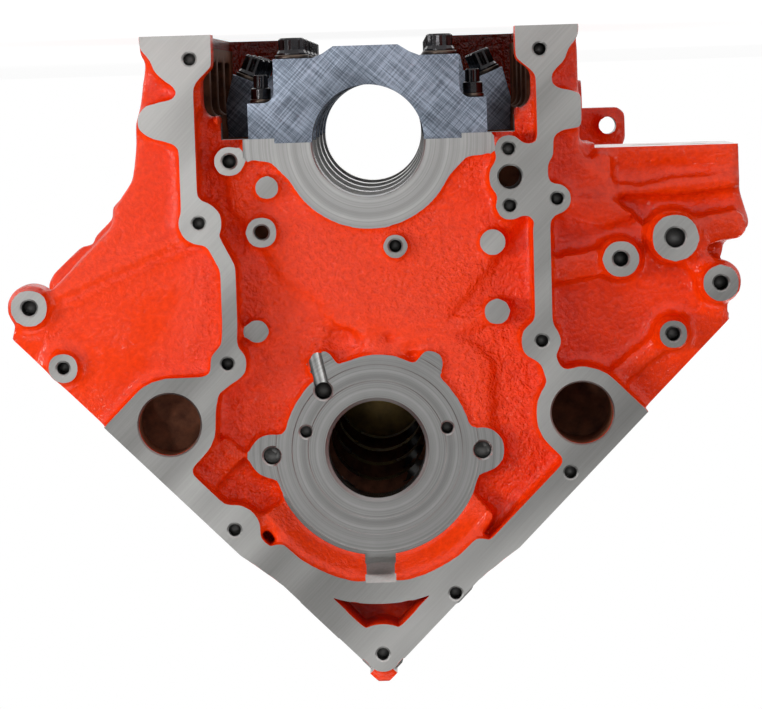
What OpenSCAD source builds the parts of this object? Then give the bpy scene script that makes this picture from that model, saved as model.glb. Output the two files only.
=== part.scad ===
/* [Crank line] */
// Bore of the main bearing housings
main_bore_d = 69.5; // [62:0.5:74]
// Distance between neighbouring main bearings
bore_spacing = 113.3; // [112:0.1:118]
// Thickness of a bulkhead and of the cap under it
web_t = 24; // [20:1:28]
// Depth of the first bulkhead behind the front flange
face_y = 22; // [19:1:26]
// Extra thickness of the front bulkhead
front_t = 10; // [8:1:14]
// Half width of the register that holds a cap sideways
register_w = 58; // [56:0.5:59]
// Depth of that register
register_h = 3; // [2:0.5:4]
// Width of the gap all round a seated cap
cap_gap = 0.1; // [0.05:0.05:0.3]

/* [Cylinder banks] */
// Height of the decks above the crank line
deck_h = 240; // [238:1:246]
// Cylinder bore
cyl_bore_d = 103; // [94:0.5:104]
// Wall of a cylinder barrel inside the water jacket
barrel_t = 6.5; // [5:0.5:7]
// How far the forward bank sits ahead of the other
bank_stagger = 24; // [20:1:28]
// Deck edge outside the cylinder centres
deck_out = 79; // [78:1:84]
// Deck edge towards the valley
deck_in = 98; // [94:1:100]
// Front of the forward bank behind the flange
bank_front = 12; // [9:1:15]
// Depth of the tapped head bolt holes
head_bolt_depth = 42; // [36:1:50]
// Diameter of the head bolt holes
head_bolt_d = 12; // [10:0.5:13]

/* [Camshaft] */
// Height of the camshaft above the crank line
cam_h = 192; // [190:0.5:194]
// Bore of the camshaft housings
cam_bore_d = 60.6; // [54:0.2:64]
// Bore of a lifter
lifter_d = 21.4; // [20:0.1:23]
// Radius of the chamber round the camshaft
cam_room_r = 40; // [37:0.5:41]

/* [Skirts] */
// Pan rails below the crank line
rail_drop = 68; // [66:1:72]
// Half width over the pan rails
rail_w = 139; // [137:1:143]
// Height of a pan rail
rail_t = 12; // [10:1:15]
// Half width over the skirt wall above the rail
skirt_w = 127; // [125:1:130]
// Thickness of the skirt wall
skirt_t = 12; // [9:0.5:14]
// Radius of the crankcase round the crank line
crank_room_r = 106; // [104:0.5:108]
// Diameter of the pan bolt holes
pan_bolt_d = 8.2; // [7:0.1:9]

/* [Front flange] */
// Width of the flange along the decks
band_w = 16.7; // [14:0.1:19]
// Diameter of the water ports
port_d = 38; // [34:0.5:40]
// Depth of the painted web behind the flange
web_y = 30; // [27:1:34]
// Diameter of the cover bolt holes
cover_bolt_d = 7.6; // [6:0.2:8.4]
// Depth of the cover bolt holes
cover_bolt_depth = 18; // [12:1:24]

/* [Rear face] */
// Thickness of the bell housing flange
bell_t = 16; // [12:1:20]
// Diameter of the bell housing bolt holes
bell_bolt_d = 12.5; // [10:0.5:14]

/* [Cap fasteners] */
// Shank of the inner cap bolts
inner_bolt_d = 12; // [10:0.5:13]
// Shank of the upright outer cap bolts
outer_bolt_d = 8; // [7:0.5:9]
// Shank of the splayed cap bolts
splay_bolt_d = 10; // [8:0.5:11]
// Lean of the splayed cap bolts
splay_angle = 22; // [18:1:24]
// Distance of the inner cap bolts from the centre
inner_bolt_x = 46; // [44.5:0.5:47]
// Thickness of the cap washers
washer_t = 2.5; // [2:0.1:3]

/* [Plugs and dowels] */
// Diameter of the core plugs
core_plug_d = 44; // [38:1:48]
// Diameter of the gallery plugs
gallery_plug_d = 14; // [11:0.5:16]
// Diameter of the head dowels
head_dowel_d = 10; // [8:0.5:12]
// Length of the head dowels
head_dowel_l = 18; // [14:1:22]

/* [Hidden] */
$fn = 64;
k = sqrt(0.5);
mains = 5;
paint = "orangered";
steel = "slategray";
// Clearance of a shank in its hole, and depth by which a cut passes a face
slip = 0.1;
past = 1;
rear_y = main_y(mains - 1) + web_t + 11;
cyl_r = cyl_bore_d / 2;

function main_y(i) = face_y + front_t + i * bore_spacing;
function bank_shift(side) = side > 0 ? 0 : bank_stagger;
function cyl_y(side, i) = main_y(i) + (web_t + bore_spacing - bank_stagger) / 2 + bank_shift(side);
function out_w(side) = rail_w - (side > 0 ? 0 : 8);
function bank_pt(t, u) = [(u + t) * k, (u - t) * k];
function mirrored(points) = [for (p = points) [-p[0], p[1]]];

// Profiles are drawn as seen from the front, with X to the right and Z up
module slice(y0, y1) {
    translate([0, y1, 0]) rotate([90, 0, 0]) linear_extrude(y1 - y0) children();
}
module bar(a, b, r) {
    d = b - a;
    l = norm(d);
    translate(a) rotate(atan2(d[1], d[0])) polygon([[-r, -r / 2], [-r / 2, -r], [l + r / 2, -r],
        [l + r, -r / 2], [l + r, r / 2], [l + r / 2, r], [-r / 2, r], [-r, r / 2]]);
}
// A rail of even width along a bent line, with mitred corners
function normal(a, b) = [a[1] - b[1], b[0] - a[0]] / norm(b - a);
function mitre(path, i) = let (last = len(path) - 1,
    before = normal(path[max(i - 1, 0)], path[max(i, 1)]),
    after = normal(path[min(i, last - 1)], path[min(i + 1, last)])) (before + after) / (1 + before * after);
module strap(path, r) {
    polygon(concat([for (i = [0 : len(path) - 1]) path[i] + r * mitre(path, i)],
        [for (i = [len(path) - 1 : -1 : 0]) path[i] - r * mitre(path, i)]));
}
module dot(p, r) { translate(p) circle(r); }
module both() { children(); mirror([1, 0]) children(); }
module both_sides() { children(); mirror([1, 0, 0]) children(); }
module pick(side) { if (side > 0) children(); else mirror([1, 0, 0]) children(); }
module pick_2d(side) { if (side > 0) children(); else mirror([1, 0]) children(); }
// Bank axes: the deck lies along the second axis, the first runs outwards across it
module bank_2d(side) { pick_2d(side) rotate(-45) children(); }
module on_bank(side, y, t, u) {
    pick(side) translate([bank_pt(t, u)[0], y, bank_pt(t, u)[1]]) rotate([0, 45, 0]) children();
}
// The origin lies on the crank line where the first main bore begins
module at_origin() { translate([0, -face_y, 0]) children(); }
module drill(p, y0, y1, d) { slice(y0, y1) dot(p, d / 2); }
module rise(p, z0, z1, d) { translate([p[0], p[1], z0]) cylinder(d = d, h = z1 - z0); }

/* Front flange */
port_t = -31;
port_u = deck_h - 29;
ring_r = port_d / 2 + 9.8;
port = bank_pt(port_t, port_u);
low_deck = deck_h - 4.5;
apex = [0, low_deck / k - 16];
// Inner edge of the flange over the camshaft, and the floor of the window in it
lip_r = 81;
window_floor = web_y + 16;
cover_u = deck_h - 9;
boss_a = [[104.5, 47.5, 13.6], [89.8, 134.4, 11.6]];
boss_b = [[-86.3, 7.3, 9], [-86.8, 24.7, 13.4], [-86.2, 42.3, 9], [-115, 38.8, 9.4], [-102.8, 126, 12.6]];
cover_holes = concat([[108, 14.7 - rail_drop], [-107, 14.7 - rail_drop], [105.5, 47.5], [90.5, 134.6],
    [-115.4, 38.8], [-103.6, 126], [-86.3, 7.3], [-86.2, 42.3], apex],
    [bank_pt(-104.7, cover_u)], mirrored([bank_pt(-62.7, cover_u), bank_pt(-165.8, cover_u)]));

module pan_pad(w_in, w_out) {
    polygon([[w_in, -rail_drop], [w_out, -rail_drop], [w_out - 0.5, 7 - rail_drop],
        [w_out - 6, 14 - rail_drop], [w_out - 10, 23 - rail_drop], [w_out - 17, 29 - rail_drop],
        [112, 36 - rail_drop], [106, 31 - rail_drop], [w_in, 20 - rail_drop]]);
}
module port_ring(side) {
    bank_2d(side) {
        dot([port_t, port_u], ring_r);
        translate([port_t - ring_r, port_u]) square([2 * ring_r, deck_h - port_u]);
    }
}
module deck_band(side) {
    bank_2d(side) polygon([[-3, deck_h], [-118, deck_h], [-150, low_deck], [-deck_h, low_deck],
        [-deck_h, deck_h - band_w], [-3, deck_h - band_w]]);
}
module v_area(u) {
    intersection() {
        bank_2d(1) translate([-2 * deck_h, -deck_h]) square([3 * deck_h, deck_h + u]);
        bank_2d(-1) translate([-2 * deck_h, -deck_h]) square([3 * deck_h, deck_h + u]);
    }
}
module apex_plate() {
    difference() {
        intersection() {
            v_area(low_deck);
            translate([-66, cam_h + 55]) square([132, apex[1] + 2 - cam_h - 55]);
        }
        dot([0, cam_h], lip_r);
    }
    dot(apex, 11.4);
}
module window_2d() {
    difference() {
        intersection() {
            v_area(deck_h - 20);
            translate([-34, cam_h + 85]) square([68, 40]);
        }
        dot([0, cam_h], 94);
        dot(apex, 19.5);
    }
}
module rail_a() {
    pan_pad(94.5, rail_w);
    bar([111.4, -40], [110.8, 40], 5.6);
    polygon([[111, -31], [120, -29], [rail_w - 3, -26], [rail_w + 2.5, -19], [rail_w + 2, -11],
        [rail_w - 5, -5.5], [117, -1], [111, 2]]);
    strap([[98, 57], [88.3, 76], [88.1, 110], [90, 134]], 5);
    polygon([[90, 124], [104, 142], [port[0], port[1] - ring_r], port, [98.5, 168], [97, 153], [82, 143]]);
    for (b = boss_a) dot([b[0], b[1]], b[2]);
}
module rail_b() {
    mirror([1, 0]) pan_pad(92, out_w(-1) + 0.5);
    bar([-109, -40], [-109, 10], 5.2);
    polygon([[-109, -31], [-118, -29.5], [-132, -26], [-132, -5], [-121, -3], [-109, 0]]);
    polygon([[-86, 3], [-110, 6], [-110, 48], [-86, 49]]);
    strap([[-105.5, 40], [-105, 116], [-104, 128], [-113, 156]], 5.4);
    for (b = boss_b) dot([b[0], b[1]], b[2]);
}
module flange_2d() {
    rail_a();
    rail_b();
    port_ring(1);
    port_ring(-1);
    intersection() {
        union() {
            deck_band(1);
            deck_band(-1);
            dot(bank_pt(-104.7, cover_u), 16);
        }
        v_area(deck_h);
        translate([-deck_h, 0]) square([2 * deck_h, apex[1] + 2]);
    }
    apex_plate();
}
// The web between the rails, from the crank line to the decks
module web_2d() {
    polygon([[-76.5, -register_h], [-94, -12], [-109, -34], [-109, 44], [-105, 60], [-105, 126],
        [-port[0], port[1]], bank_mirror(-30, deck_h - 5), [-14, apex[1] + 2],
        [14, apex[1] + 2], bank_pt(-30, deck_h - 5), port, [88, 134], [88, 76],
        [111, 44], [111, -34], [94, -12], [77.8, -register_h]]);
    dot(apex, 14);
}
function bank_mirror(t, u) = [-bank_pt(t, u)[0], bank_pt(t, u)[1]];

/* Raised forms on the web */
plateau_y = web_y - 5;
pad_y = face_y - 3;
// X, Z, radius and hole of each round boss between the rails
web_bosses = [[63.4, 27.3, 6.8, 0], [67.7, 54.9, 9.2, 8.8], [86.3, 10.3, 8.9, 8.6], [72.2, 116, 6.8, 0],
    [-15, 65.7, 7.1, 7.8], [-75.3, 65, 7.6, 0], [-76.8, 108.1, 7.6, 0]];
// Side, place across the deck, depth below it, radius, hole and front of each boss on the bank ends
end_bosses = [[1, 81.3, 21.8, 11.1, 9.4, 3], [1, 40.7, 8.9, 8.8, 7.6, 5], [-1, 86.7, 61.1, 14.3, 12.3, 8],
    [-1, 54.1, 76.3, 10.9, 9.4, 12], [-1, 85.8, 21.3, 10.9, 9.2, 10], [-1, 42.6, 20.7, 8.4, 8.6, 12]];
function boss_at(b) = [b[0] * bank_pt(b[1], deck_h - b[2])[0], bank_pt(b[1], deck_h - b[2])[1]];
ear_x = 65.4;
ear_z = cam_h + 2;
module cam_plate_2d() {
    c = [0, cam_h];
    difference() {
        union() {
            dot(c, 58.5);
            intersection() {
                dot(c, 65);
                translate([-66, cam_h]) square([132, 70]);
            }
            both() dot([ear_x, ear_z], 14);
            dot([33.6, cam_h - 54], 9);
            dot([-34.2, cam_h - 52.5], 8);
            translate([-10, cam_h + 50]) square([20, 22]);
        }
    }
}
module crank_ring_2d() {
    dot([0, 0], 54);
    polygon([[-76.5, -register_h], [-76.5, 7], [-73, 10], [-61, 10.5], [-50, 22], [50, 22], [61, 10.5],
        [74, 9.5], [77.8, 6.5], [77.8, -register_h]]);
}
module plateau_2d() {
    polygon([[-98, 45], [-74, 80], [-50, 106], [-34, 117], [-7, 120], [20, 119.5], [35, 98],
        [56, 84], [65, 67], [86, 40], [88, 20], [78, 0], [-76, 0], [-90, 20]]);
}
function near_apex(points) = [for (p = points) apex + p];
module front_forms() {
    slice(face_y, web_y + past) crank_ring_2d();
    slice(face_y, web_y + past) cam_plate_2d();
    slice(plateau_y, web_y + past) plateau_2d();
    for (b = web_bosses) slice(pad_y, web_y + past) dot([b[0], b[1]], b[2]);
    // Upright rib under the plateau, the leaning one beside it and the pad beside the camshaft face
    slice(plateau_y, web_y + past) bar([1, 112], [1, cam_h - 56], 5);
    slice(plateau_y, web_y + past) bar([-9, cam_h - 61], [-74, 109], 4.5);
    slice(plateau_y, web_y + past) polygon([[-42, 125], [-59, 127], [-73, 138], [-72, 182], [-50, 190], [-30, 150]]);
    // Boss round the first head bolt hole of the forward bank
    slice(web_y - 7, web_y + past) bank_2d(1)
        strap([[-head_row, deck_h - head_bolt_depth - 4], [-head_row, deck_h - band_w + 3]], 9);
    // Bosses on the valley wall, behind the flange
    slice(web_y - 14, web_y + 14) polygon(near_apex([[-11, -17], [-12.5, 9], [-8.5, 19.5], [10, 19.5],
        [13.5, 9], [12, -17]]));
    slice(web_y + 4, web_y + 26) {
        polygon(near_apex([[24, -47], [60, -47], [47.5, -21.5], [42, -7], [39, -5], [29, -5.5], [24, -17]]));
        polygon(near_apex([[-62, -47], [-57.5, -36], [-53, -28], [-46, -25], [-38, -32], [-38, -47]]));
    }
    // Lips that slope from the flange down to the camshaft face
    intersection() {
        translate([0, 0, cam_h]) rotate([90, 0, 0]) rotate_extrude($fn = 96)
            polygon([[64, -web_y - past], [64, 1 - face_y], [lip_r - 4, -4], [lip_r + 2, -4],
                [lip_r + 2, -web_y - past]]);
        slice(0, web_y + 2 * past) polygon([[-54, cam_h + 22], [56, cam_h + 28], [92, cam_h + 48],
            [90, cam_h + 95], [-90, cam_h + 95], [-92, cam_h + 64]]);
    }
    // Ramp from the camshaft face up to the flange
    translate([-9.5, 0, cam_h]) rotate([90, 0, 90]) linear_extrude(19)
        polygon([[face_y, 66], [1, 78], [1, 84], [web_y + past, 84], [web_y + past, 66]]);
}
module front_cuts() {
    // Machined steps round the camshaft bore
    slice(face_y - past, face_y + 0.5) dot([0, cam_h], 63);
    slice(face_y - past, face_y + 1) dot([0, cam_h], 53);
    slice(face_y - past, face_y + 1.5) dot([0, cam_h], 43);
    // Oil groove from the thrust face
    drill([32.4, cam_h - 37.5], face_y - past, face_y + 22, 10.7);
    slice(face_y - past, face_y + 4) bar([32.4, cam_h - 37.5], [39, cam_h - 66], 4.6);
    both_sides() drill([ear_x, ear_z], face_y - past, face_y + 14, 10.8);
    both_sides() drill([43.9, cam_h - 12.3], face_y - past, face_y + 18, 7.4);
    // Hollow over the camshaft
    slice(-past, web_y + 4) polygon([[11, 118], [24, 114], [30, 120], [27, 127], [18, 131], [11, 127]]);
    slice(-past, window_floor) window_2d();
    for (b = web_bosses) if (b[3] > 0) drill([b[0], b[1]], pad_y - past, pad_y + 20, b[3]);
    for (h = cover_holes) drill(h, -past, cover_bolt_depth, cover_bolt_d);
    drill([-86.8, 24.7], -past, face_y + 40, 14.4);
}

/* Bank ends */
filter_z = 9;
filter_w = 231;
filter_y0 = 48;
filter_y1 = 168;
module end_forms() {
    for (b = end_bosses) {
        y0 = bank_front + bank_shift(b[0]);
        slice(b[5], y0 + 10) dot(boss_at(b), b[3]);
        // Foot that carries the boss on the end wall
        slice(y0 - (b[0] > 0 ? 3 : 12), bank_front + bank_stagger + 10) intersection() {
            dot(boss_at(b), b[3] + 3);
            v_area(deck_h - 1);
        }
    }
    // Ridges that run from the flange rail to the bank's outer corner
    slice(bank_front - 4, bank_front + past) bar([118, 58], [204, 94], 5);
    y_b = bank_front + bank_stagger;
    slice(y_b - 12, y_b + past) bar([-112, 84], boss_at(end_bosses[3]), 8);
    slice(y_b - 10, y_b + past) bar(boss_at(end_bosses[2]), boss_at(end_bosses[4]), 8);
    slice(y_b - 8, filter_y0 + past) bar(boss_at(end_bosses[2]), [-224, 59], 9);
    slice(y_b - 8, y_b + past) bar(boss_at(end_bosses[5]), [-150, 152], 6);
}
// Mount for the oil filter, which faces down beside the skirt
module filter_pad() {
    slice(filter_y0, filter_y1) polygon([[-118, filter_z], [-filter_w, filter_z], [-filter_w, filter_z + 29],
        [-filter_w - 6, 59], [-filter_w - 4.5, 62], [-220, 70], [-219.5, 78], [-206, 92], [-150, 60], [-118, 40]]);
    // Lip of the pad, the upright rib under it and the foot below
    slice(filter_y0 - 3, filter_y0 + past) polygon([[-126, filter_z], [-filter_w, filter_z],
        [-filter_w, filter_z + 27], [-206, filter_z + 8], [-126, filter_z + 7]]);
    slice(filter_y0 - 10, filter_y0 + past) bar([-145, filter_z + 9], [-145, filter_z + 24], 6);
    slice(filter_y0 - 8, filter_y0 + past) polygon([[-126, 30], [-170, 33], [-190, 29], [-filter_w + 2, 27],
        [-filter_w + 1, 36], [-190, 40], [-126, 38]]);
    // Sloped facet beside the side boss
    slice(filter_y0 - 16, filter_y0 + past) polygon([[-118, 40], [-148, 40], [-164, 51], [-146, 58], [-118, 50]]);
}
module filter_cuts() {
    translate([0, 0, filter_z - 5]) rise([-178, (filter_y0 + filter_y1) / 2], 0, 16, 26);
    translate([0, 0, filter_z - 5]) rise([-205, (filter_y0 + filter_y1) / 2 - 22], 0, 24, 15);
    for (y = [filter_y0 + 14, filter_y1 - 14], x = [-142, -214])
        rise([x, y], filter_z - 5, filter_z + 18, 10.5);
}

/* Sides */
mount_pts = [[190, -18], [262, -18], [226, 26]];
rib_w = 10;
module skirt_2d(w) {
    polygon([[102, -rail_drop], [w, -rail_drop], [w, rail_t - rail_drop],
        [skirt_w, rail_t + 6 - rail_drop], [skirt_w, -8], [w, 22], bank_pt(deck_out, 139), [80, 60],
        [80, -register_h], [102, -20]]);
}
module side_forms(side) {
    for (i = [1 : mains - 1]) {
        y = main_y(i) + web_t / 2 - rib_w / 2;
        w = out_w(side);
        pick(side) slice(y, y + rib_w) polygon([[skirt_w - 2, rail_t - rail_drop - 1],
            [w, rail_t - rail_drop - 1], [w, 20], [w - 2, 30], [120, 10]]);
        // Ribs up the outside of the bank; the middle one stops below a core plug
        pick(side) slice(y, y + rib_w) rotate(-45) {
            polygon([[deck_out - 2, 108], [deck_out + 5, 112], [deck_out + 11.5, 126], [deck_out + 11.5, 143],
                [deck_out - 2, 143]]);
            if (i != 2) {
                polygon([[deck_out - 2, 140], [deck_out + 11.5, 140], [deck_out + 11.5, 149], [deck_out + 6.5, 151],
                    [deck_out + 7, 170], [deck_out - 2, 173]]);
                polygon([[deck_out - 2, 175], [deck_out + 5, 175], [deck_out + 9, 180], [deck_out + 10, 206],
                    [deck_out + 7, 215], [deck_out - 2, 215]]);
            }
        }
    }
    pick(side) for (p = mount_pts)
        translate([skirt_w - 8, p[0], p[1]]) rotate([0, 90, 0]) cylinder(r = 15, h = rail_w - skirt_w + 8);
}
module side_cuts(side) {
    pick(side) for (p = mount_pts)
        translate([skirt_w - skirt_t + 4, p[0], p[1]]) rotate([0, 90, 0])
            cylinder(d = 10.2, h = rail_w - skirt_w + skirt_t - 4 + past);
}

/* Banks, crankcase and valley */
jacket_out = 62;
jacket_in = 90;
jacket_u0 = 132;
jacket_end = cyl_r;
lifter_t = -cam_h * k;
lifter_top = deck_h - 28;
plug_u = 168;
drain_u = 153;
function plug_y(side) = [cyl_y(side, 0), (cyl_y(side, 1) + cyl_y(side, 2)) / 2, cyl_y(side, 3)];
function drain_y(side) = cyl_y(side, 2) + 18;
drain_d = 14;
module bank_body(side) {
    y0 = bank_front + bank_shift(side);
    // The outer edge of the deck is broken, more so on the rearward bank
    edge = side > 0 ? 3 : 6;
    slice(y0, rear_y - 2 - bank_stagger + bank_shift(side)) bank_2d(side)
        polygon([[-deck_in, 40], [-deck_in, deck_h], [deck_out - edge, deck_h], [deck_out, deck_h - edge - 1],
            [deck_out, 40]]);
    slice(y0, rear_y - 2) pick_2d(side) skirt_2d(out_w(side));
    // End wall that closes the skirt and the outside of the bank
    w = out_w(side);
    slice(y0, y0 + 12) pick_2d(side) polygon(side > 0
        ? [[110, rail_t - rail_drop], [w - 4, rail_t - rail_drop], [w + 1, -24], [w + 4, -14], [w + 4, -2],
            [w + 7, 20], [158, 37], [162, 60], [110, 60]]
        : [[110, rail_t - rail_drop], [w + 0.5, rail_t - rail_drop], [w + 0.5, 10], [154, 38], [110, 60]]);
}
module middle_2d() {
    half = [bank_pt(-90, lifter_top - 12), bank_pt(lifter_t + 19, lifter_top - 12),
        bank_pt(lifter_t + 19, lifter_top), bank_pt(lifter_t - 18, lifter_top), [23, cam_h + 49]];
    polygon(concat([[60, 0], [100, 60], [110, 140]], half,
        [for (i = [len(half) - 1 : -1 : 0]) [-half[i][0], half[i][1]]], [[-110, 140], [-100, 60], [-60, 0]]));
}
module bay_2d() {
    dot([0, 0], crank_room_r);
    w = skirt_w - skirt_t;
    translate([-w, -rail_drop + rail_t + 4]) square([2 * w, rail_drop - rail_t + 8]);
    translate([-102, -rail_drop - past]) square([204, rail_drop]);
    dot([0, cam_h], cam_room_r);
    translate([-24, 60]) square([48, cam_h - 60]);
}
module jacket(side) {
    y0 = cyl_y(side, 0) - jacket_end;
    y1 = cyl_y(side, 3) + jacket_end;
    difference() {
        on_bank(side, 0, 0, 0) translate([-jacket_in, y0, jacket_u0])
            cube([jacket_in + jacket_out, y1 - y0, deck_h - 13 - jacket_u0]);
        for (i = [0 : 3]) on_bank(side, cyl_y(side, i), 0, 0)
            translate([0, 0, jacket_u0 - past]) cylinder(r = cyl_r + barrel_t, h = deck_h);
        for (i = [0 : 4]) on_bank(side, cyl_y(side, i) - bore_spacing / 2, -head_row, 0)
            translate([0, 0, jacket_u0 - past]) cylinder(r = 11, h = deck_h);
    }
}
head_row = 70;
dowel_up = 6;
function dowel_y(side) = [cyl_y(side, 1) - 38, cyl_y(side, 3) + 38];
module deck_cuts(side) {
    for (i = [0 : 3]) on_bank(side, cyl_y(side, i), 0, 60) cylinder(r = cyl_r, h = deck_h, $fn = 96);
    for (i = [0 : 4], t = [-head_row, head_row])
        on_bank(side, cyl_y(side, i) - bore_spacing / 2, t, deck_h - head_bolt_depth)
            cylinder(d = head_bolt_d, h = head_bolt_depth + past);
    for (i = [0 : 3]) on_bank(side, cyl_y(side, i), -82, deck_h - 20) cylinder(d = 12, h = 20 + past);
    for (y = dowel_y(side)) on_bank(side, y, head_row, deck_h - head_dowel_l + dowel_up - slip)
        cylinder(d = head_dowel_d + 2 * slip, h = head_dowel_l);
    for (i = [0 : 3], dy = [-19, 19]) on_bank(side, cyl_y(side, i) + dy, lifter_t, cam_h * k + cam_room_r - 8)
        cylinder(d = lifter_d, h = 60);
    for (y = plug_y(side)) on_bank(side, y, jacket_out - 2, plug_u)
        rotate([0, 90, 0]) cylinder(d = core_plug_d + 2 * slip, h = 40);
    on_bank(side, drain_y(side), jacket_out - 2, drain_u)
        rotate([0, 90, 0]) cylinder(d = drain_d + 2 * slip, h = 40);
}
pan_bolts = [for (i = [0 : 6]) 60 + i * 68];
pan_bolt_x = rail_w - 18.5;
module pan_cuts() {
    both_sides() for (y = pan_bolts) rise([pan_bolt_x, y], -rail_drop - past, -rail_drop + 20, pan_bolt_d);
}

/* Rear face */
bell_pts = [[-170, 0.5], [160, 56], [-132, 118], [132, 118], [-60, 176], [60, 176]];
bell_dowel_pts = [[-152, 62], [150, 72]];
seal_r = 56;
// Places of the plugs in the rear face
gallery_pt = [34, cam_h - 64];
rear_plug_t = -40;
rear_plug_u = deck_h - 55;
plug_room = 14;
module rear_2d() {
    intersection() {
        union() {
            dot([0, 0], 172);
            translate([-80, 0]) square([160, cam_h + 50]);
        }
        translate([-200, 0]) square([400, 400]);
        v_area(deck_h - 3);
    }
    both() polygon([[96, -rail_drop], [rail_w - 6, -rail_drop], [rail_w - 6, 0], [150, 20], [96, 20]]);
    for (p = bell_pts) dot(p, 13);
    polygon([[-183, -8.5], [-178, -12.5], [-120, -12.5], [-120, 60], [-170, 40], [-183, 10.5]]);
}
module rear_cuts() {
    for (p = bell_pts) drill(p, rear_y - bell_t - 20, rear_y + past, bell_bolt_d);
    for (p = bell_dowel_pts) drill(p, rear_y - 14 - slip, rear_y + past, 15.9 + 2 * slip);
    both_sides() drill(gallery_pt, rear_y - plug_room - 16, rear_y + past, gallery_plug_d + 2 * slip);
    drill([0, cam_h], rear_y - plug_room, rear_y + past, cam_bore_d + 6 + 2 * slip);
    both_sides() drill(bank_pt(rear_plug_t, rear_plug_u), rear_y - plug_room, rear_y + past,
        core_plug_d + 2 * slip);
    // Room for the crankshaft's rear seal
    slice(main_y(mains - 1) + web_t, rear_y + past) {
        dot([0, 0], seal_r);
        translate([2 - seal_r, -rail_drop - past]) square([2 * seal_r - 4, rail_drop + past]);
    }
}
// Wall behind the last cap, down to the pan rails
module rear_wall() {
    slice(main_y(mains - 1) + web_t + past, rear_y)
        both() polygon([[seal_r - 8, -rail_drop], [104, -rail_drop], [104, 20], [seal_r - 8, 20]]);
}

/* Cap seats */
seat_z = -52;
outer_seat_z = -25;
outer_bolt_x = 66;
outer_washer_d = 13.6;
cap_w = 74;
wide_cap_w = 91;
tower_w = 57.5;
fillet_r = 7;
fillet_c = [tower_w + fillet_r, outer_seat_z - fillet_r];
splay_x = 78;
splay_z = -40;
inner_bolt_l = 92;
outer_bolt_l = 62;
splay_bolt_l = 84;
sleeve_t = 2;
sleeve_l = 14;
hole_end = 2;
function upright(i) = i == 0 || i == mains - 1;

module at_splay(side) {
    pick(side) translate([splay_x, 0, splay_z]) rotate([0, splay_angle, 0]) children();
}
module at_caps() {
    for (i = [0 : mains - 1]) translate([0, main_y(i) + web_t / 2, 0]) children();
}
module at_inner_seats() { at_caps() for (s = [-1, 1]) translate([s * inner_bolt_x, 0, seat_z]) children(); }
module at_outer_seats() {
    for (i = [0, mains - 1], s = [-1, 1])
        translate([s * outer_bolt_x, main_y(i) + web_t / 2, outer_seat_z]) children();
}
module at_splayed_seats() {
    for (i = [1 : mains - 2], s = [-1, 1]) translate([0, main_y(i) + web_t / 2, 0]) at_splay(s) children();
}
module cap_holes() {
    at_inner_seats() translate([0, 0, -12]) cylinder(d = inner_bolt_d + 2 * slip, h = inner_bolt_l + 12 + hole_end);
    at_outer_seats() translate([0, 0, -12]) cylinder(d = outer_bolt_d + 2 * slip, h = outer_bolt_l + 12 + hole_end);
    at_splayed_seats() translate([0, 0, -12]) cylinder(d = splay_bolt_d + 2 * slip, h = splay_bolt_l + 12 + hole_end);
    at_caps() both_sides() translate([inner_bolt_x, 0, -sleeve_l / 2 - slip])
        cylinder(d = inner_bolt_d + 2 * sleeve_t + 4 * slip, h = sleeve_l + 2 * slip);
}
// Everything below the register that the caps and the crankshaft need
module cap_room_2d() {
    translate([-register_w - cap_gap, -register_h - past])
        square([2 * (register_w + cap_gap), register_h + past]);
    translate([-wide_cap_w - cap_gap, -rail_drop])
        square([2 * (wide_cap_w + cap_gap), rail_drop - register_h]);
}

/* Casting, from the rough form to the drilled one */
module rough() {
    difference() {
        union() {
            bank_body(1);
            bank_body(-1);
            slice(web_y, rear_y - bell_t + 2) middle_2d();
            slice(0, web_y + 12) flange_2d();
            slice(web_y, main_y(0) + web_t) web_2d();
        }
        slice(-past, web_y) difference() { web_2d(); flange_2d(); }
    }
    front_forms();
    end_forms();
    filter_pad();
    side_forms(1);
    side_forms(-1);
    slice(rear_y - bell_t, rear_y) rear_2d();
    rear_wall();
}
module cored() {
    difference() {
        difference() {
            rough();
            for (i = [0 : mains - 2]) slice(main_y(i) + web_t, main_y(i + 1)) bay_2d();
        }
        union() { jacket(1); jacket(-1); }
    }
}
module line_bored() {
    difference() {
        difference() {
            cored();
            union() {
                slice(-past, rear_y + past) dot([0, 0], main_bore_d / 2);
                slice(face_y - past, rear_y) dot([0, cam_h], cam_bore_d / 2);
            }
        }
        slice(-past, rear_y - bell_t - 2) cap_room_2d();
    }
}
module decked() {
    difference() {
        difference() {
            line_bored();
            deck_cuts(1);
        }
        deck_cuts(-1);
    }
}
module block() {
    color(paint) difference() {
        difference() {
            decked();
            union() {
                drill(port, -past, bank_front + 26, port_d);
                drill([-port[0], port[1]], -past, bank_front + bank_stagger + 26, port_d);
                front_cuts();
                for (b = end_bosses) drill(boss_at(b), b[5] - past, b[5] + 26, b[4]);
                rear_cuts();
            }
        }
        union() {
            filter_cuts();
            side_cuts(1);
            side_cuts(-1);
            pan_cuts();
            cap_holes();
        }
    }
}

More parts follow.
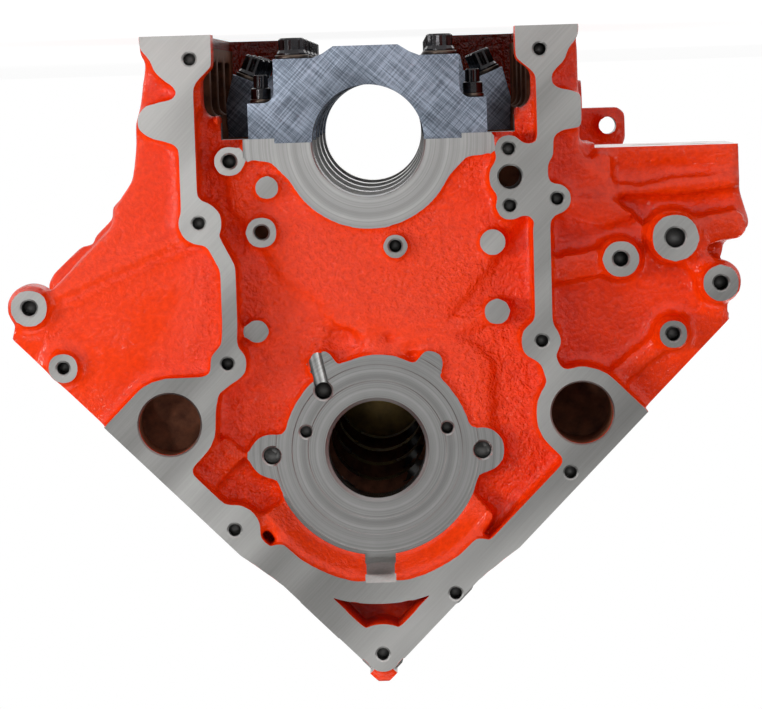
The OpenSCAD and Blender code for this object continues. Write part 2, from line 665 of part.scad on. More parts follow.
/* Main bearing caps */
module cap_2d(i) {
    foot = [[register_w, 0], [register_w, -register_h]];
    lug = upright(i)
        ? [[cap_w, -register_h], [cap_w, outer_seat_z], [fillet_c[0], outer_seat_z],
            [tower_w, fillet_c[1]], [tower_w, seat_z]]
        : [[wide_cap_w, -register_h], [wide_cap_w + 1, -24],
            [splay_x + 9, splay_z - 9 * tan(splay_angle)], [splay_x - 9, splay_z + 9 * tan(splay_angle)],
            [62, -42], [60, seat_z]];
    half = concat(foot, lug, [[33, seat_z], [27, seat_z - 2.5], [20, seat_z - 7]]);
    difference() {
        polygon(concat(half, [for (j = [len(half) - 1 : -1 : 0]) [-half[j][0], half[j][1]]]));
        circle(main_bore_d / 2);
        if (upright(i)) both() dot(fillet_c, fillet_r);
    }
}
module main_cap(i) {
    color(steel) difference() {
        slice(main_y(i) - (i == 0 ? front_t : 0), main_y(i) + web_t) cap_2d(i);
        union() {
            cap_holes();
            // Spot faces for the washers of the upright bolts
            at_outer_seats() translate([0, 0, seat_z]) cylinder(d = outer_washer_d + 1, h = -seat_z);
        }
    }
}

/* Fasteners: each is drawn with its seat at the origin and its shank upwards */
module twelve_point(across, h) {
    linear_extrude(h) {
        circle(d = across / cos(30), $fn = 6);
        rotate(30) circle(d = across / cos(30), $fn = 6);
    }
}
module cap_bolt(d, l, across, head_h, flange_d, flange_h) {
    color("dimgray") translate([0, 0, -washer_t]) {
        cylinder(d = d, h = l);
        translate([0, 0, -flange_h]) cylinder(d = flange_d, h = flange_h);
        translate([0, 0, -head_h]) twelve_point(across, head_h - flange_h + past / 2);
    }
}
module washer(d, bore) {
    color("gray") translate([0, 0, -washer_t]) difference() {
        cylinder(d = d, h = washer_t);
        translate([0, 0, -past]) cylinder(d = bore + 2 * slip, h = washer_t + 2 * past);
    }
}
module inner_cap_bolts() { at_inner_seats() cap_bolt(inner_bolt_d, inner_bolt_l, 14.5, 10.5, 18.5, 2.5); }
module inner_cap_washers() { at_inner_seats() washer(21, inner_bolt_d); }
module outer_cap_bolts() { at_outer_seats() cap_bolt(outer_bolt_d, outer_bolt_l, 8, 15, 12.4, 7); }
module outer_cap_washers() { at_outer_seats() washer(outer_washer_d, outer_bolt_d); }
module splayed_cap_bolts() { at_splayed_seats() cap_bolt(splay_bolt_d, splay_bolt_l, 11.5, 13, 15, 2.5); }
module splayed_cap_washers() { at_splayed_seats() washer(16.5, splay_bolt_d); }
module cap_dowels() {
    color("silver") at_caps() both_sides() translate([inner_bolt_x, 0, -sleeve_l / 2]) difference() {
        cylinder(d = inner_bolt_d + 2 * sleeve_t + 2 * slip, h = sleeve_l);
        translate([0, 0, -past]) cylinder(d = inner_bolt_d + 2 * slip, h = sleeve_l + 2 * past);
    }
}

/* Plugs and dowels */
plug_depth = 10;
plug_wall = 1.6;
module cup_plug(d) {
    color("goldenrod") difference() {
        cylinder(d = d, h = plug_depth);
        translate([0, 0, plug_wall]) cylinder(d = d - 2 * plug_wall, h = plug_depth);
    }
}
module side_core_plugs() {
    for (side = [-1, 1]) for (y = plug_y(side)) on_bank(side, y, deck_out - plug_depth - 1, plug_u)
        rotate([0, 90, 0]) cup_plug(core_plug_d);
}
module rear_core_plugs() {
    p = bank_pt(rear_plug_t, rear_plug_u);
    both_sides() translate([p[0], rear_y - plug_depth - 1, p[1]]) rotate([-90, 0, 0]) cup_plug(core_plug_d);
}
module cam_plug() {
    translate([0, rear_y - plug_depth - 1, cam_h]) rotate([-90, 0, 0]) cup_plug(cam_bore_d + 6);
}
module socket_plug(d, l) {
    color("darkgray") difference() {
        cylinder(d = d, h = l);
        translate([0, 0, l - 6]) cylinder(d = d * 0.55, h = 6 + past, $fn = 6);
    }
}
module rear_gallery_plugs() {
    both_sides() translate([gallery_pt[0], rear_y - plug_room, gallery_pt[1]]) rotate([-90, 0, 0])
        socket_plug(gallery_plug_d, plug_room - 2);
}
module drain_plugs() {
    for (side = [-1, 1]) on_bank(side, drain_y(side), jacket_out, drain_u) rotate([0, 90, 0])
        color("darkgray") {
            cylinder(d = drain_d, h = deck_out - jacket_out + 1);
            translate([0, 0, deck_out - jacket_out]) cylinder(d = drain_d + 8, h = 9, $fn = 6);
        }
}
module head_dowels() {
    for (side = [-1, 1]) for (y = dowel_y(side))
        on_bank(side, y, head_row, deck_h - head_dowel_l + dowel_up) color("silver") difference() {
            cylinder(d = head_dowel_d, h = head_dowel_l);
            translate([0, 0, -past]) cylinder(d = head_dowel_d - 3, h = head_dowel_l + 2 * past);
        }
}
module bell_dowels() {
    for (p = bell_dowel_pts) color("silver") slice(rear_y - 14, rear_y + 11) dot(p, 15.9 / 2);
}

at_origin() block();
at_origin() main_cap(0);  // main_cap_1
at_origin() main_cap(1);  // main_cap_2
at_origin() main_cap(2);  // main_cap_3
at_origin() main_cap(3);  // main_cap_4
at_origin() main_cap(4);  // main_cap_5
at_origin() inner_cap_bolts();
at_origin() inner_cap_washers();
at_origin() outer_cap_bolts();
at_origin() outer_cap_washers();
at_origin() splayed_cap_bolts();
at_origin() splayed_cap_washers();
at_origin() cap_dowels();
at_origin() side_core_plugs();
at_origin() rear_core_plugs();
at_origin() rear_gallery_plugs();
at_origin() cam_plug();
at_origin() head_dowels();
at_origin() bell_dowels();
at_origin() drain_plugs();
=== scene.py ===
# %% [markdown]
# # Engine block
# A bare vee engine block is two things at once: a sand casting, soft at every corner and painted, and a
# set of machined faces and bores cut into it, flat and sharp. The scene is made in the same order. The
# packed casting is copied, given machining stock, remeshed and softened, and then milled and drilled.

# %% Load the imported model
import math

import bmesh
import bpy
import numpy as np
from mathutils import Matrix, Vector


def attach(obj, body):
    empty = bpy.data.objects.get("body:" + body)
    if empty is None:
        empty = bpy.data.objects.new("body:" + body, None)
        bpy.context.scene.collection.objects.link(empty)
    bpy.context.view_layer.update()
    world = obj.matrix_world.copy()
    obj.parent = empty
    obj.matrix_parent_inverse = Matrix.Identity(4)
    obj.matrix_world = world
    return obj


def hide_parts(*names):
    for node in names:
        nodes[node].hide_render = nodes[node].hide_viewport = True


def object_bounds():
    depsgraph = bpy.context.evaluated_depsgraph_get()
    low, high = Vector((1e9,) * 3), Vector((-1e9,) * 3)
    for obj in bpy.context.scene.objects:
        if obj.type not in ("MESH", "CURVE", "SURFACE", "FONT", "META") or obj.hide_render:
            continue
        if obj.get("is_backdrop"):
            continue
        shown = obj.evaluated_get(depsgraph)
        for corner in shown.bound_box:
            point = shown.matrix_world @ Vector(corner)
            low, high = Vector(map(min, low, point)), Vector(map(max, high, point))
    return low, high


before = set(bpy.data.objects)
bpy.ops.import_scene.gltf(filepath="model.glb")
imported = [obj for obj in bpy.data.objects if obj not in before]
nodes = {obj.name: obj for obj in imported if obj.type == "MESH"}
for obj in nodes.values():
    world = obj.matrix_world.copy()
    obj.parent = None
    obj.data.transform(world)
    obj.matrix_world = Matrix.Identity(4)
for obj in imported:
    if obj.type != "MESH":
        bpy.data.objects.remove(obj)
cad_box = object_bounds()
print(len(nodes), "nodes loaded")

# %% [markdown]
# ## Where things are
# The drawing of the block counts depth from the timing flange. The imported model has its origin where
# the first main bore begins, 22 mm behind that flange. One helper turns drawing millimetres into scene
# metres, and another places points in a bank's own axes, across the deck and along the cylinders.

# %% Drawing sizes
MM = 0.001
FLANGE_TO_BORE = 22.0
DECK = 240.0
LOW_DECK = 235.5
CAM_Z = 192.0
MAIN_R = 34.75
CAM_R = 30.3
BORE_R = 51.5
SPACING = 113.3
WEB = 24.0
STAGGER = 24.0
DECK_OUT = 79.0
RAIL_Z = -68.0
MAIN_Y = [32.0 + SPACING * i for i in range(5)]
REAR_Y = MAIN_Y[4] + WEB + 11.0
HALF = math.sqrt(0.5)
SIDES = (1, -1)
FRONT = Vector((0, -1, 0))
BACKWARD = Vector((0, 1, 0))
DOWN = Vector((0, 0, -1))
print("rear face", round(REAR_Y, 1), "mm behind the flange")


# %% Places on the drawing and in a bank
def at(x, y, z):
    return Vector((x, y - FLANGE_TO_BORE, z)) * MM


def bank_way(side, across, up):
    """A bank's own axes lean 45 degrees: across runs along the deck, up along the cylinders."""
    return Vector((side * (up + across) * HALF, 0.0, (up - across) * HALF))


def bank_point(side, across, up, y):
    way = bank_way(side, across, up)
    return at(way.x, y, way.z)


def cylinder_y(side, i):
    """The banks are staggered, because two rods share each crank pin."""
    return MAIN_Y[i] + (WEB + SPACING - STAGGER) / 2 + (0.0 if side > 0 else STAGGER)


print("first cylinder", round(cylinder_y(1, 0), 1), "mm behind the flange")

# %% [markdown]
# ## Camera
# The block was photographed upside down, pan rails up, so the camera is rolled half a turn. It stands
# low and far away, straight in front of the timing end, and looks slightly upwards at the middle.
# The lens follows from the picture's focal length in pixels, so no framing has to be guessed.

# %% Camera
FOCAL_PX = 4443.1
PICTURE_W = 762.0
EYE = at(-23.12, -2730.0, -37.3)
TARGET = at(-4.23, 0.0, 131.4)
ROLLED = Vector((-0.99956, 0.0, 0.0296))
camera_data = bpy.data.cameras.new("camera")
camera = bpy.data.objects.new("camera", camera_data)
bpy.context.scene.collection.objects.link(camera)
camera_data.sensor_width = 36.0
camera_data.lens = FOCAL_PX / PICTURE_W * camera_data.sensor_width
camera_data.clip_end = 60.0
back = (EYE - TARGET).normalized()
right = (ROLLED - back * ROLLED.dot(back)).normalized()
camera.matrix_world = Matrix.Translation(EYE) @ Matrix((right, back.cross(right), back)).transposed().to_4x4()
bpy.context.scene.camera = camera
print("lens", round(camera_data.lens, 1), "mm")

# %% [markdown]
# ## Finishes
# A shader is a graph of nodes, and building one by hand takes many lines. Every finish here is made
# from noise in object space, so it sticks to the metal and needs no unwrapping. A short helper wires
# the nodes: each call makes one, sets its plain inputs, links the others and hands back its output.


# %% Node helper
class Finish:
    """A material under construction: make() adds a node, and the other calls return a socket."""

    def __init__(self, name):
        self.material = bpy.data.materials.new(name)
        self.material.use_nodes = True
        self.tree = self.material.node_tree
        self.shader = self.tree.nodes["Principled BSDF"]
        self.place = self.make("ShaderNodeTexCoord").outputs["Object"]

    def make(self, kind, inputs=(), **settings):
        node = self.tree.nodes.new(kind)
        for key, value in settings.items():
            setattr(node, key, value)
        for key, value in dict(inputs).items():
            self.set(node.inputs[key], value)
        return node

    def set(self, socket, value):
        if isinstance(value, bpy.types.NodeSocket):
            self.tree.links.new(value, socket)
        else:
            socket.default_value = value

    def wear(self, scale, detail=4.0, rough=0.5, stretch=1.0, turn=(0, 0, 0), place=None):
        """Noise, drawn out stretch times along its own Z axis once that axis is turned."""
        placed = self.make("ShaderNodeMapping", {"Vector": place or self.place, "Scale": (1, 1, stretch),
                                                 "Rotation": turn}, vector_type="TEXTURE")
        return self.make("ShaderNodeTexNoise", {"Vector": placed.outputs[0], "Scale": scale,
                                                "Detail": detail, "Roughness": rough}).outputs[0]

    def ramp(self, value, low, high, a=0.0, b=1.0):
        """Runs from a to b while value runs from low to high."""
        return self.make("ShaderNodeMapRange", {"Value": value, "From Min": low, "From Max": high,
                                                "To Min": a, "To Max": b}).outputs[0]

    def blend(self, factor, a, b):
        node = self.make("ShaderNodeMix", data_type="RGBA")
        self.set(node.inputs[0], factor)
        self.set(node.inputs[6], a)
        self.set(node.inputs[7], b)
        return node.outputs[2]

    def maths(self, how, *values):
        node = self.make("ShaderNodeMath", operation=how)
        for socket, value in zip(node.inputs, values):
            self.set(socket, value)
        return node.outputs[0]

    def bump(self, height, depth, under=None):
        """A bump of this depth in metres, on top of another one."""
        node = self.make("ShaderNodeBump", {"Height": height, "Strength": 1.0, "Distance": depth})
        if under is not None:
            self.set(node.inputs["Normal"], under)
        return node.outputs[0]

    def surface(self, **inputs):
        """Sets the shader's own sockets and ends the material."""
        for key, value in inputs.items():
            self.set(self.shader.inputs[key.replace("_", " ")], value)
        return self.material


def rgb(r, g, b):
    return (r, g, b, 1.0)


# %% [markdown]
# ### Enamel on rough iron
# The casting is sprayed with a thick red-orange enamel. It floats over the sand texture, so the small
# grains stay as soft bumps and the gloss breaks into points of light. The colour comes from the base
# layer alone, and a thin coat above it carries all the gloss, so highlights don't bleach the red.
# The web between the banks is the coarsest, and the bank ends and the lips round the camshaft plate
# are nearly smooth, so the place on the block and a slow noise both fade the pebbles in and out.

# %% Enamel
WEB_EDGE = (0.100, 0.125)
LIPS_BEGIN = (0.225, 0.240)
# The two reds are the same enamel in painted shade and in painted light.
PEBBLE_SHADE_RED, PEBBLE_LIGHT_RED = rgb(0.68, 0.030, 0.001), rgb(0.86, 0.046, 0.002)


def make_enamel():
    f = Finish("cast_enamel")
    pebbles = f.wear(300.0, 3.0, 0.6)
    grain = f.wear(900.0, 2.0, 0.5)
    waves = f.wear(60.0, 2.0, 0.5)
    patches = f.ramp(f.wear(11.0, 3.0, 0.6), 0.36, 0.50)
    axes = f.make("ShaderNodeSeparateXYZ", {"Vector": f.place}).outputs
    off_web = f.ramp(f.maths("ABSOLUTE", axes[0]), *WEB_EDGE, 1.0, 0.3)
    off_lips = f.ramp(axes[2], *LIPS_BEGIN, 1.0, 0.2)
    coarse = f.maths("MULTIPLY", f.maths("MULTIPLY", off_web, off_lips), f.ramp(patches, 0.0, 1.0, 0.3, 1.0))
    coarse = f.maths("MULTIPLY", pebbles, coarse)
    normal = f.bump(waves, 0.0006)
    normal = f.bump(coarse, 0.0028, normal)
    normal = f.bump(grain, 0.0001, normal)
    # Painted shade and light: the red is darker in the pebbles' hollows and brighter on their tops.
    colour = f.blend(f.ramp(pebbles, 0.3, 0.7), PEBBLE_SHADE_RED, PEBBLE_LIGHT_RED)
    return f.surface(Base_Color=colour, Roughness=0.5, Normal=normal, Specular_IOR_Level=0.0,
                     Coat_Weight=0.42, Coat_Roughness=0.10, Coat_Normal=normal)


enamel = make_enamel()
print("enamel ready")

# %% [markdown]
# ### Machined iron
# A face mill leaves fine lines and bright and dull bands that run slantwise over a face. Both are noise
# stretched along the way the tool went. The bands go into the roughness, and into the colour as a painted
# sheen, the streaks of light that a milled face reflects. The lines go into the colour and a very shallow
# bump. Bores and holes are the same iron, streaked along their depth and painted darker, as the shade where
# little light gets in.


# %% Milled and drilled iron
def make_iron(name, turn, light, dark, rough=0.30):
    f = Finish(name)
    lines = f.wear(900.0, 2.0, 0.5, 40.0, turn)
    bands = f.wear(24.0, 1.0, 0.5, 6.0, turn)
    clouds = f.wear(8.0, 3.0, 0.5)
    # The bands brighten and darken the colour as a painted sheen.
    tone = f.maths("MULTIPLY_ADD", f.ramp(bands, 0.35, 0.65, 0.1, 0.8), f.ramp(clouds, 0.35, 0.65, 0.6, 1.0),
                   f.ramp(lines, 0.3, 0.7, 0.0, 0.12))
    colour = f.blend(tone, rgb(dark, dark * 0.985, dark * 0.95), rgb(light, light * 0.99, light * 0.965))
    return f.surface(Base_Color=colour, Metallic=1.0, Roughness=f.ramp(bands, 0.3, 0.7, rough, rough + 0.06),
                     Normal=f.bump(lines, 0.00001))


milled = make_iron("milled_iron", (0.0, math.radians(45), 0.0), light=0.48, dark=0.20)
bored = make_iron("bored_iron", (math.radians(90), 0.0, 0.0), light=0.46, dark=0.24, rough=0.26)
drilled = make_iron("drilled_iron", (math.radians(90), 0.0, 0.0), light=0.24, dark=0.07, rough=0.38)
print("milled, bored and drilled iron ready")

# %% [markdown]
# ### Bare iron in the rooms inside
# The spray reaches only a little way into the water ports, and the crankcase and the water jacket aren't
# painted at all. There the casting shows its own rust-brown skin, rough and without gloss, and kept dark as
# painted shade, because little light gets that far in.


# %% Rust-brown skin, darkened as painted shade
def make_cavity():
    f = Finish("cavity_iron")
    rust = f.wear(120.0, 4.0, 0.6)
    # Both browns are dark: bare iron with painted shade of the rooms inside.
    colour = f.blend(f.ramp(rust, 0.3, 0.7), rgb(0.090, 0.034, 0.017), rgb(0.240, 0.090, 0.045))
    return f.surface(Base_Color=colour, Roughness=0.7, Specular_IOR_Level=0.2, Normal=f.bump(rust, 0.0006))


cavity = make_cavity()
print("cavity iron ready")

# %% [markdown]
# ### Turned iron
# The camshaft plate and the ring round the main bearing were turned, so they show rings. The distance
# from the tool's axis takes the place of the position as the noise's input, and every mark becomes a
# circle. A wave texture would make rings too, but evenly spaced ones, as no tool leaves them.


# %% Turned iron
def make_turned(name, centre_z, light, dark):
    f = Finish(name)
    flat = f.make("ShaderNodeVectorMath", {0: f.place, 1: (1.0, 0.0, 1.0)}, operation="MULTIPLY").outputs[0]
    apart = f.make("ShaderNodeVectorMath", {0: flat, 1: (0.0, 0.0, centre_z * MM)}, operation="DISTANCE")
    ring = f.make("ShaderNodeCombineXYZ", {0: apart.outputs["Value"]}).outputs[0]
    fine = f.wear(1400.0, 2.0, 0.7, place=ring)
    broad = f.wear(230.0, 2.0, 0.6, place=ring)
    clouds = f.wear(20.0, 4.0, 0.6)
    tone = f.maths("MULTIPLY_ADD", f.ramp(broad, 0.35, 0.65, 0.0, 0.6), f.ramp(clouds, 0.3, 0.7, 0.5, 1.0),
                   f.ramp(fine, 0.3, 0.7, 0.0, 0.4))
    colour = f.blend(tone, rgb(dark, dark * 0.995, dark * 0.97), rgb(light, light, light * 0.985))
    return f.surface(Base_Color=colour, Metallic=1.0, Roughness=f.ramp(fine, 0.3, 0.7, 0.28, 0.44),
                     Normal=f.bump(fine, 0.00004))


cam_turned = make_turned("cam_face_iron", CAM_Z, light=0.36, dark=0.15)
crank_turned = make_turned("crank_face_iron", 0.0, light=0.46, dark=0.22)
print("turned iron ready")

# %% [markdown]
# ## The casting
# A real fillet is needed at every inside corner, and bevels can't follow a form as tangled as this.
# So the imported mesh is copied, the flat machined faces are pushed out to give stock, and the drilled
# holes are plugged. A voxel remesh then makes one even skin, and smoothing rounds it as a casting is.

# %% Helper that adds stock
STOCK = 3.0
SKIN = 0.0025


def add_stock(bm, way, distance, tolerance=0.02):
    """Pushes out the flat faces that look along way at this distance from the origin, in mm."""
    way = Vector(way).normalized()
    faces = [f for f in bm.faces if f.normal.dot(way) > 0.9995
             and abs(f.calc_center_median().dot(way) - distance * MM) < tolerance * MM]
    grown = bmesh.ops.extrude_face_region(bm, geom=faces)["geom"]
    corners = [g for g in grown if isinstance(g, bmesh.types.BMVert)]
    bmesh.ops.translate(bm, verts=corners, vec=way * STOCK * MM)
    bmesh.ops.delete(bm, geom=[f for f in faces if f.is_valid], context="FACES")
    return len(faces)


# %% Copy the casting and push out its machined faces
RING_FACE = 22.0
PLATE_FACES = (22.5, 23.0, 23.5)
REGISTER_Z = -3.0
SPLIT_Z = 0.0
FILTER_Z = 9.0
form = bmesh.new()
form.from_mesh(nodes["block"].data)
bmesh.ops.remove_doubles(form, verts=form.verts, dist=3e-6)
planes = [(FRONT, FLANGE_TO_BORE - y) for y in (0.0, RING_FACE) + PLATE_FACES]
planes += [(BACKWARD, REAR_Y - FLANGE_TO_BORE)]
planes += [(DOWN, -z) for z in (RAIL_Z, REGISTER_Z, SPLIT_Z, FILTER_Z)]
planes += [((s, 0, 1), u) for s in SIDES for u in (DECK, LOW_DECK)]
for way, distance in planes:
    print("stock on", add_stock(form, way, distance), "faces at", round(distance, 1))

# %% [markdown]
# ## Plugs for the drilled holes
# Every hole and bore is filled before the remesh, so its wall isn't melted by the voxels. It is cut
# again afterwards, round and sharp. The same lists of places serve both steps. The plugs and the
# tools are simple solids made in a bmesh: turned ones from a profile, and plates from an outline.


# %% Turned solids
def frame_of(way):
    way = Vector(way).normalized()
    side = way.cross(Vector((0, 0, 1)) if abs(way.z) < 0.9 else Vector((1, 0, 0))).normalized()
    return way, side, way.cross(side)


def lathe(bm, base, way, profile, around=32, material=0, bands=None):
    """A closed turned solid: profile lists (radius, height) in mm from its foot to its top."""
    way, u, v = frame_of(way)
    rings = []
    for radius, height in profile:
        centre = base + way * height * MM
        if radius < 1e-6:
            rings.append([bm.verts.new(centre)])
            continue
        rings.append([bm.verts.new(centre + (u * math.cos(a) + v * math.sin(a)) * radius * MM)
                      for a in (2 * math.pi * i / around for i in range(around))])
    made = []
    for level, (low, high) in enumerate(zip(rings, rings[1:])):
        slot = bands[level] if bands else material
        for i in range(around):
            j = (i + 1) % around
            if len(low) == 1:
                corners = [low[0], high[j], high[i]]
            elif len(high) == 1:
                corners = [low[i], low[j], high[0]]
            else:
                corners = [low[i], low[j], high[j], high[i]]
            made.append((bm.faces.new(corners), slot))
    if len(rings[0]) > 1:
        made.append((bm.faces.new(reversed(rings[0])), bands[0] if bands else material))
    if len(rings[-1]) > 1:
        made.append((bm.faces.new(rings[-1]), bands[-1] if bands else material))
    for face, slot in made:
        face.material_index = slot


def rod(bm, base, way, radius, start, end, around=32, material=0):
    lathe(bm, base, way, [(radius, start), (radius, end)], around, material)


# %% Lofts and plates
def loft(bm, first, last, material=0):
    """A closed solid between two outlines with the same number of points."""
    a = [bm.verts.new(p) for p in first]
    b = [bm.verts.new(p) for p in last]
    faces = [bm.faces.new(a), bm.faces.new(reversed(b))]
    for i in range(len(a)):
        j = (i + 1) % len(a)
        faces.append(bm.faces.new((a[j], a[i], b[i], b[j])))
    for face in faces:
        face.material_index = material


def prism(bm, outline, y0, y1, material=0):
    """A plate with an outline as seen from the front, between two depths."""
    loft(bm, [at(x, y0, z) for x, z in outline], [at(x, y1, z) for x, z in outline], material)


# %% [markdown]
# Brackets, the timing cover and the water pump bolt on to the timing end, so it is full of bosses and
# holes. Every boss gives X and Z on the drawing, its radius, the radius of its hole, and the depth of
# its face. Those on the bank ends follow the deck: their place is across it and below it.

# %% Bosses of the timing end
BOSS_FACE = 19.0
web_bosses = [(63.4, 27.3, 6.8, 0.0), (67.7, 54.9, 9.2, 4.4), (86.3, 10.3, 8.9, 4.3), (72.2, 116.0, 6.8, 0.0),
              (-15.0, 65.7, 7.1, 3.9), (-75.3, 65.0, 7.6, 0.0), (-76.8, 108.1, 7.6, 0.0)]
bosses = [(x, z, wide, hole, BOSS_FACE) for x, z, wide, hole in web_bosses]
for side, across, below, wide, hole, face in (
        (1, 81.3, 21.8, 11.1, 4.7, 3.0), (1, 40.7, 8.9, 8.8, 3.8, 5.0),
        (-1, 86.7, 61.1, 14.3, 6.15, 8.0), (-1, 54.1, 76.3, 10.9, 4.7, 12.0),
        (-1, 85.8, 21.3, 10.9, 4.6, 10.0), (-1, 42.6, 20.7, 8.4, 4.3, 12.0)):
    place = bank_way(side, across, DECK - below)
    bosses.append((place.x, place.z, wide, hole, face))
print(len(bosses), "bosses")

# %% Hole lists: spot, way out, radius and depth
APEX = (0.0, LOW_DECK / HALF - 16.0)
EARS = (65.4, CAM_Z + 2.0)
OIL_HOLE = (32.4, CAM_Z - 37.5)


def on_deck_band(side, across):
    way = bank_way(side, across, DECK - 9.0)
    return (way.x, way.z)


cover_holes = [(108.0, RAIL_Z + 14.7), (-107.0, RAIL_Z + 14.7), (105.5, 47.5), (90.5, 134.6), (-115.4, 38.8),
               (-103.6, 126.0), (-86.3, 7.3), (-86.2, 42.3), APEX,
               on_deck_band(1, -104.7), on_deck_band(-1, -62.7), on_deck_band(-1, -165.8)]
holes = [(at(x, 0, z), FRONT, 3.8, 18.0) for x, z in cover_holes]
holes += [(at(x, face, z), FRONT, hole, 22.0) for x, z, _, hole, face in bosses if hole]
for s in SIDES:
    holes.append((at(s * EARS[0], RING_FACE, EARS[1]), FRONT, 5.4, 14.0))
    holes.append((at(s * 43.9, RING_FACE + 1.0, CAM_Z - 12.3), FRONT, 3.7, 17.0))
holes.append((at(OIL_HOLE[0], RING_FACE + 1.0, OIL_HOLE[1]), FRONT, 5.35, 21.0))
holes.append((at(-86.8, 0, 24.7), FRONT, 7.2, 62.0))
print(len(holes), "holes in the timing end")

# %% [markdown]
# The other faces follow what such blocks have: head bolts round each cylinder and a lifter bore for
# each valve in the banks, pan bolts in the rails, mount pads on the skirts, and the rear face's bolts.

# %% Holes of the decks and rails
DOWEL_HOLE = (5.1, 12.2)
for side in SIDES:
    up = bank_way(side, 0, 1)
    for i in range(5):
        y = cylinder_y(side, i) - SPACING / 2
        holes += [(bank_point(side, across, DECK, y), up, 6.0, 42.0) for across in (-70.0, 70.0)]
    for i in range(4):
        y = cylinder_y(side, i)
        holes.append((bank_point(side, -82.0, DECK, y), up, 6.0, 20.0))
        for lifter_y in (y - 19.0, y + 19.0):
            holes.append((bank_point(side, -CAM_Z * HALF, DECK - 28.0, lifter_y), up, 10.7, 46.0))
    for y in (cylinder_y(side, 1) - 38.0, cylinder_y(side, 3) + 38.0):
        holes.append((bank_point(side, 70.0, DECK, y), up, *DOWEL_HOLE))
    holes += [(at(side * 120.5, 60.0 + 68.0 * i, RAIL_Z), DOWN, 4.1, 20.0) for i in range(7)]
print(len(holes), "holes so far")

# %% Holes of the sides, the filter pad and the rear
PAD_X = 139.0
pad_places = ((190.0, -18.0), (262.0, -18.0), (226.0, 26.0))
mounts = [(at(s * PAD_X, y, z), Vector((s, 0, 0))) for s in SIDES for y, z in pad_places]
holes += [(spot, way, 5.1, 20.0) for spot, way in mounts]
holes += [(at(x, y, FILTER_Z), DOWN, 5.25, 18.0) for y in (62.0, 154.0) for x in (-142.0, -214.0)]
holes += [(at(-178.0, 108.0, FILTER_Z), DOWN, 13.0, 11.0), (at(-205.0, 86.0, FILTER_Z), DOWN, 7.5, 19.0)]
for x, z in ((-170.0, 0.5), (160.0, 56.0), (-132.0, 118.0), (132.0, 118.0), (-60.0, 176.0), (60.0, 176.0)):
    holes.append((at(x, REAR_Y, z), BACKWARD, 6.25, 36.0))
holes += [(at(x, REAR_Y, z), BACKWARD, 8.05, 14.1) for x, z in ((-152.0, 62.0), (150.0, 72.0))]
holes += [(at(s * 34.0, REAR_Y, CAM_Z - 64.0), BACKWARD, 7.1, 30.0) for s in SIDES]
print(len(holes), "holes in all")

# %% [markdown]
# Two kinds of recess are cast, not drilled: the water ports at the front, which open into the jacket
# round the cylinders, and the seats of the pressed-in plugs.

# %% Water ports and plug seats
PORT_R = 19.0
PLUG_R = 22.1
DRAIN_R = 7.1
ports = []
recesses = []
for side in SIDES:
    way = bank_way(side, -31.0, DECK - 29.0)
    ports.append((at(way.x, 0, way.z), 37.5 if side > 0 else 61.5))
    outward = bank_way(side, 1, 0)
    for y in (cylinder_y(side, 0), (cylinder_y(side, 1) + cylinder_y(side, 2)) / 2, cylinder_y(side, 3)):
        recesses.append((bank_point(side, DECK_OUT, 168.0, y), outward, PLUG_R, 20.0))
    recesses.append((bank_point(side, DECK_OUT, 153.0, cylinder_y(side, 2) + 18.0), outward, DRAIN_R, 20.0))
    recesses.append((bank_point(side, -40.0, DECK - 55.0, REAR_Y), BACKWARD, PLUG_R, 14.0))
print(len(ports), "ports and", len(recesses), "plug seats")

# %% Plug the holes, the ports and the bores
SNUG = 0.4
BORE_FOOT = 109.0
for spot, way, radius, deep in holes + recesses:
    rod(form, spot, way, radius + SNUG, -deep - 1.0, STOCK, 16)
for spot, deep in ports:
    rod(form, spot, FRONT, PORT_R + SNUG, -deep - 1.0, STOCK, 24)
for i in range(5):
    front = RING_FACE - STOCK if i == 0 else MAIN_Y[i] - 0.5
    for z, radius in ((0, MAIN_R), (CAM_Z, CAM_R)):
        rod(form, at(0, 0, z), BACKWARD, radius + SNUG, front, MAIN_Y[i] + WEB + 0.5, 32)
for side in SIDES:
    for i in range(4):
        rod(form, bank_point(side, 0, 0, cylinder_y(side, i)), bank_way(side, 0, 1), BORE_R + SNUG, BORE_FOOT,
            DECK + STOCK, 48)
print("form has", len(form.faces), "faces")

# %% [markdown]
# Bosses lose a little width when the skin is smoothed, so each gets a sleeve of extra metal first.

# %% Sleeves on the bosses
SHRINK = 0.7
PAD_R = 15.0
for x, z, wide, _, face in bosses:
    rod(form, at(x, face, z), FRONT, wide + SHRINK, -10.0, STOCK, 24)
for spot, way in mounts:
    rod(form, spot, way, PAD_R + SHRINK, -8.0, STOCK, 24)
print(len(bosses) + len(mounts), "sleeves added")

# %% [markdown]
# The remesh turns the plugged form into one closed skin of even squares, and it welds whatever still
# overlaps. A few rounds of smoothing then give every corner the soft radius that sand leaves. Finer
# voxels would keep smaller forms, but the mesh grows with their square.

# %% Remesh and soften
skin_mesh = bpy.data.meshes.new("casting")
form.to_mesh(skin_mesh)
form.free()
casting = bpy.data.objects.new("casting", skin_mesh)
bpy.context.scene.collection.objects.link(casting)


def apply_modifiers(piece):
    graph = bpy.context.evaluated_depsgraph_get()
    mesh = bpy.data.meshes.new_from_object(piece.evaluated_get(graph))
    piece.modifiers.clear()
    old = piece.data
    piece.data = mesh
    bpy.data.meshes.remove(old)


remesh = casting.modifiers.new("even skin", "REMESH")
remesh.mode = "VOXEL"
remesh.voxel_size = SKIN
soften = casting.modifiers.new("cast corners", "SMOOTH")
soften.factor = 0.5
soften.iterations = 6
apply_modifiers(casting)
print("skin has", len(casting.data.polygons), "faces")

# %% [markdown]
# ## Machining
# Each tool is a closed solid. A boolean takes it away from the casting, and the new faces keep the
# tool's own material slot, so milled, turned, bored and drilled metal come out where the tool went.
# Painting by masks could tell the finishes apart too, but it couldn't give the sharp edges.

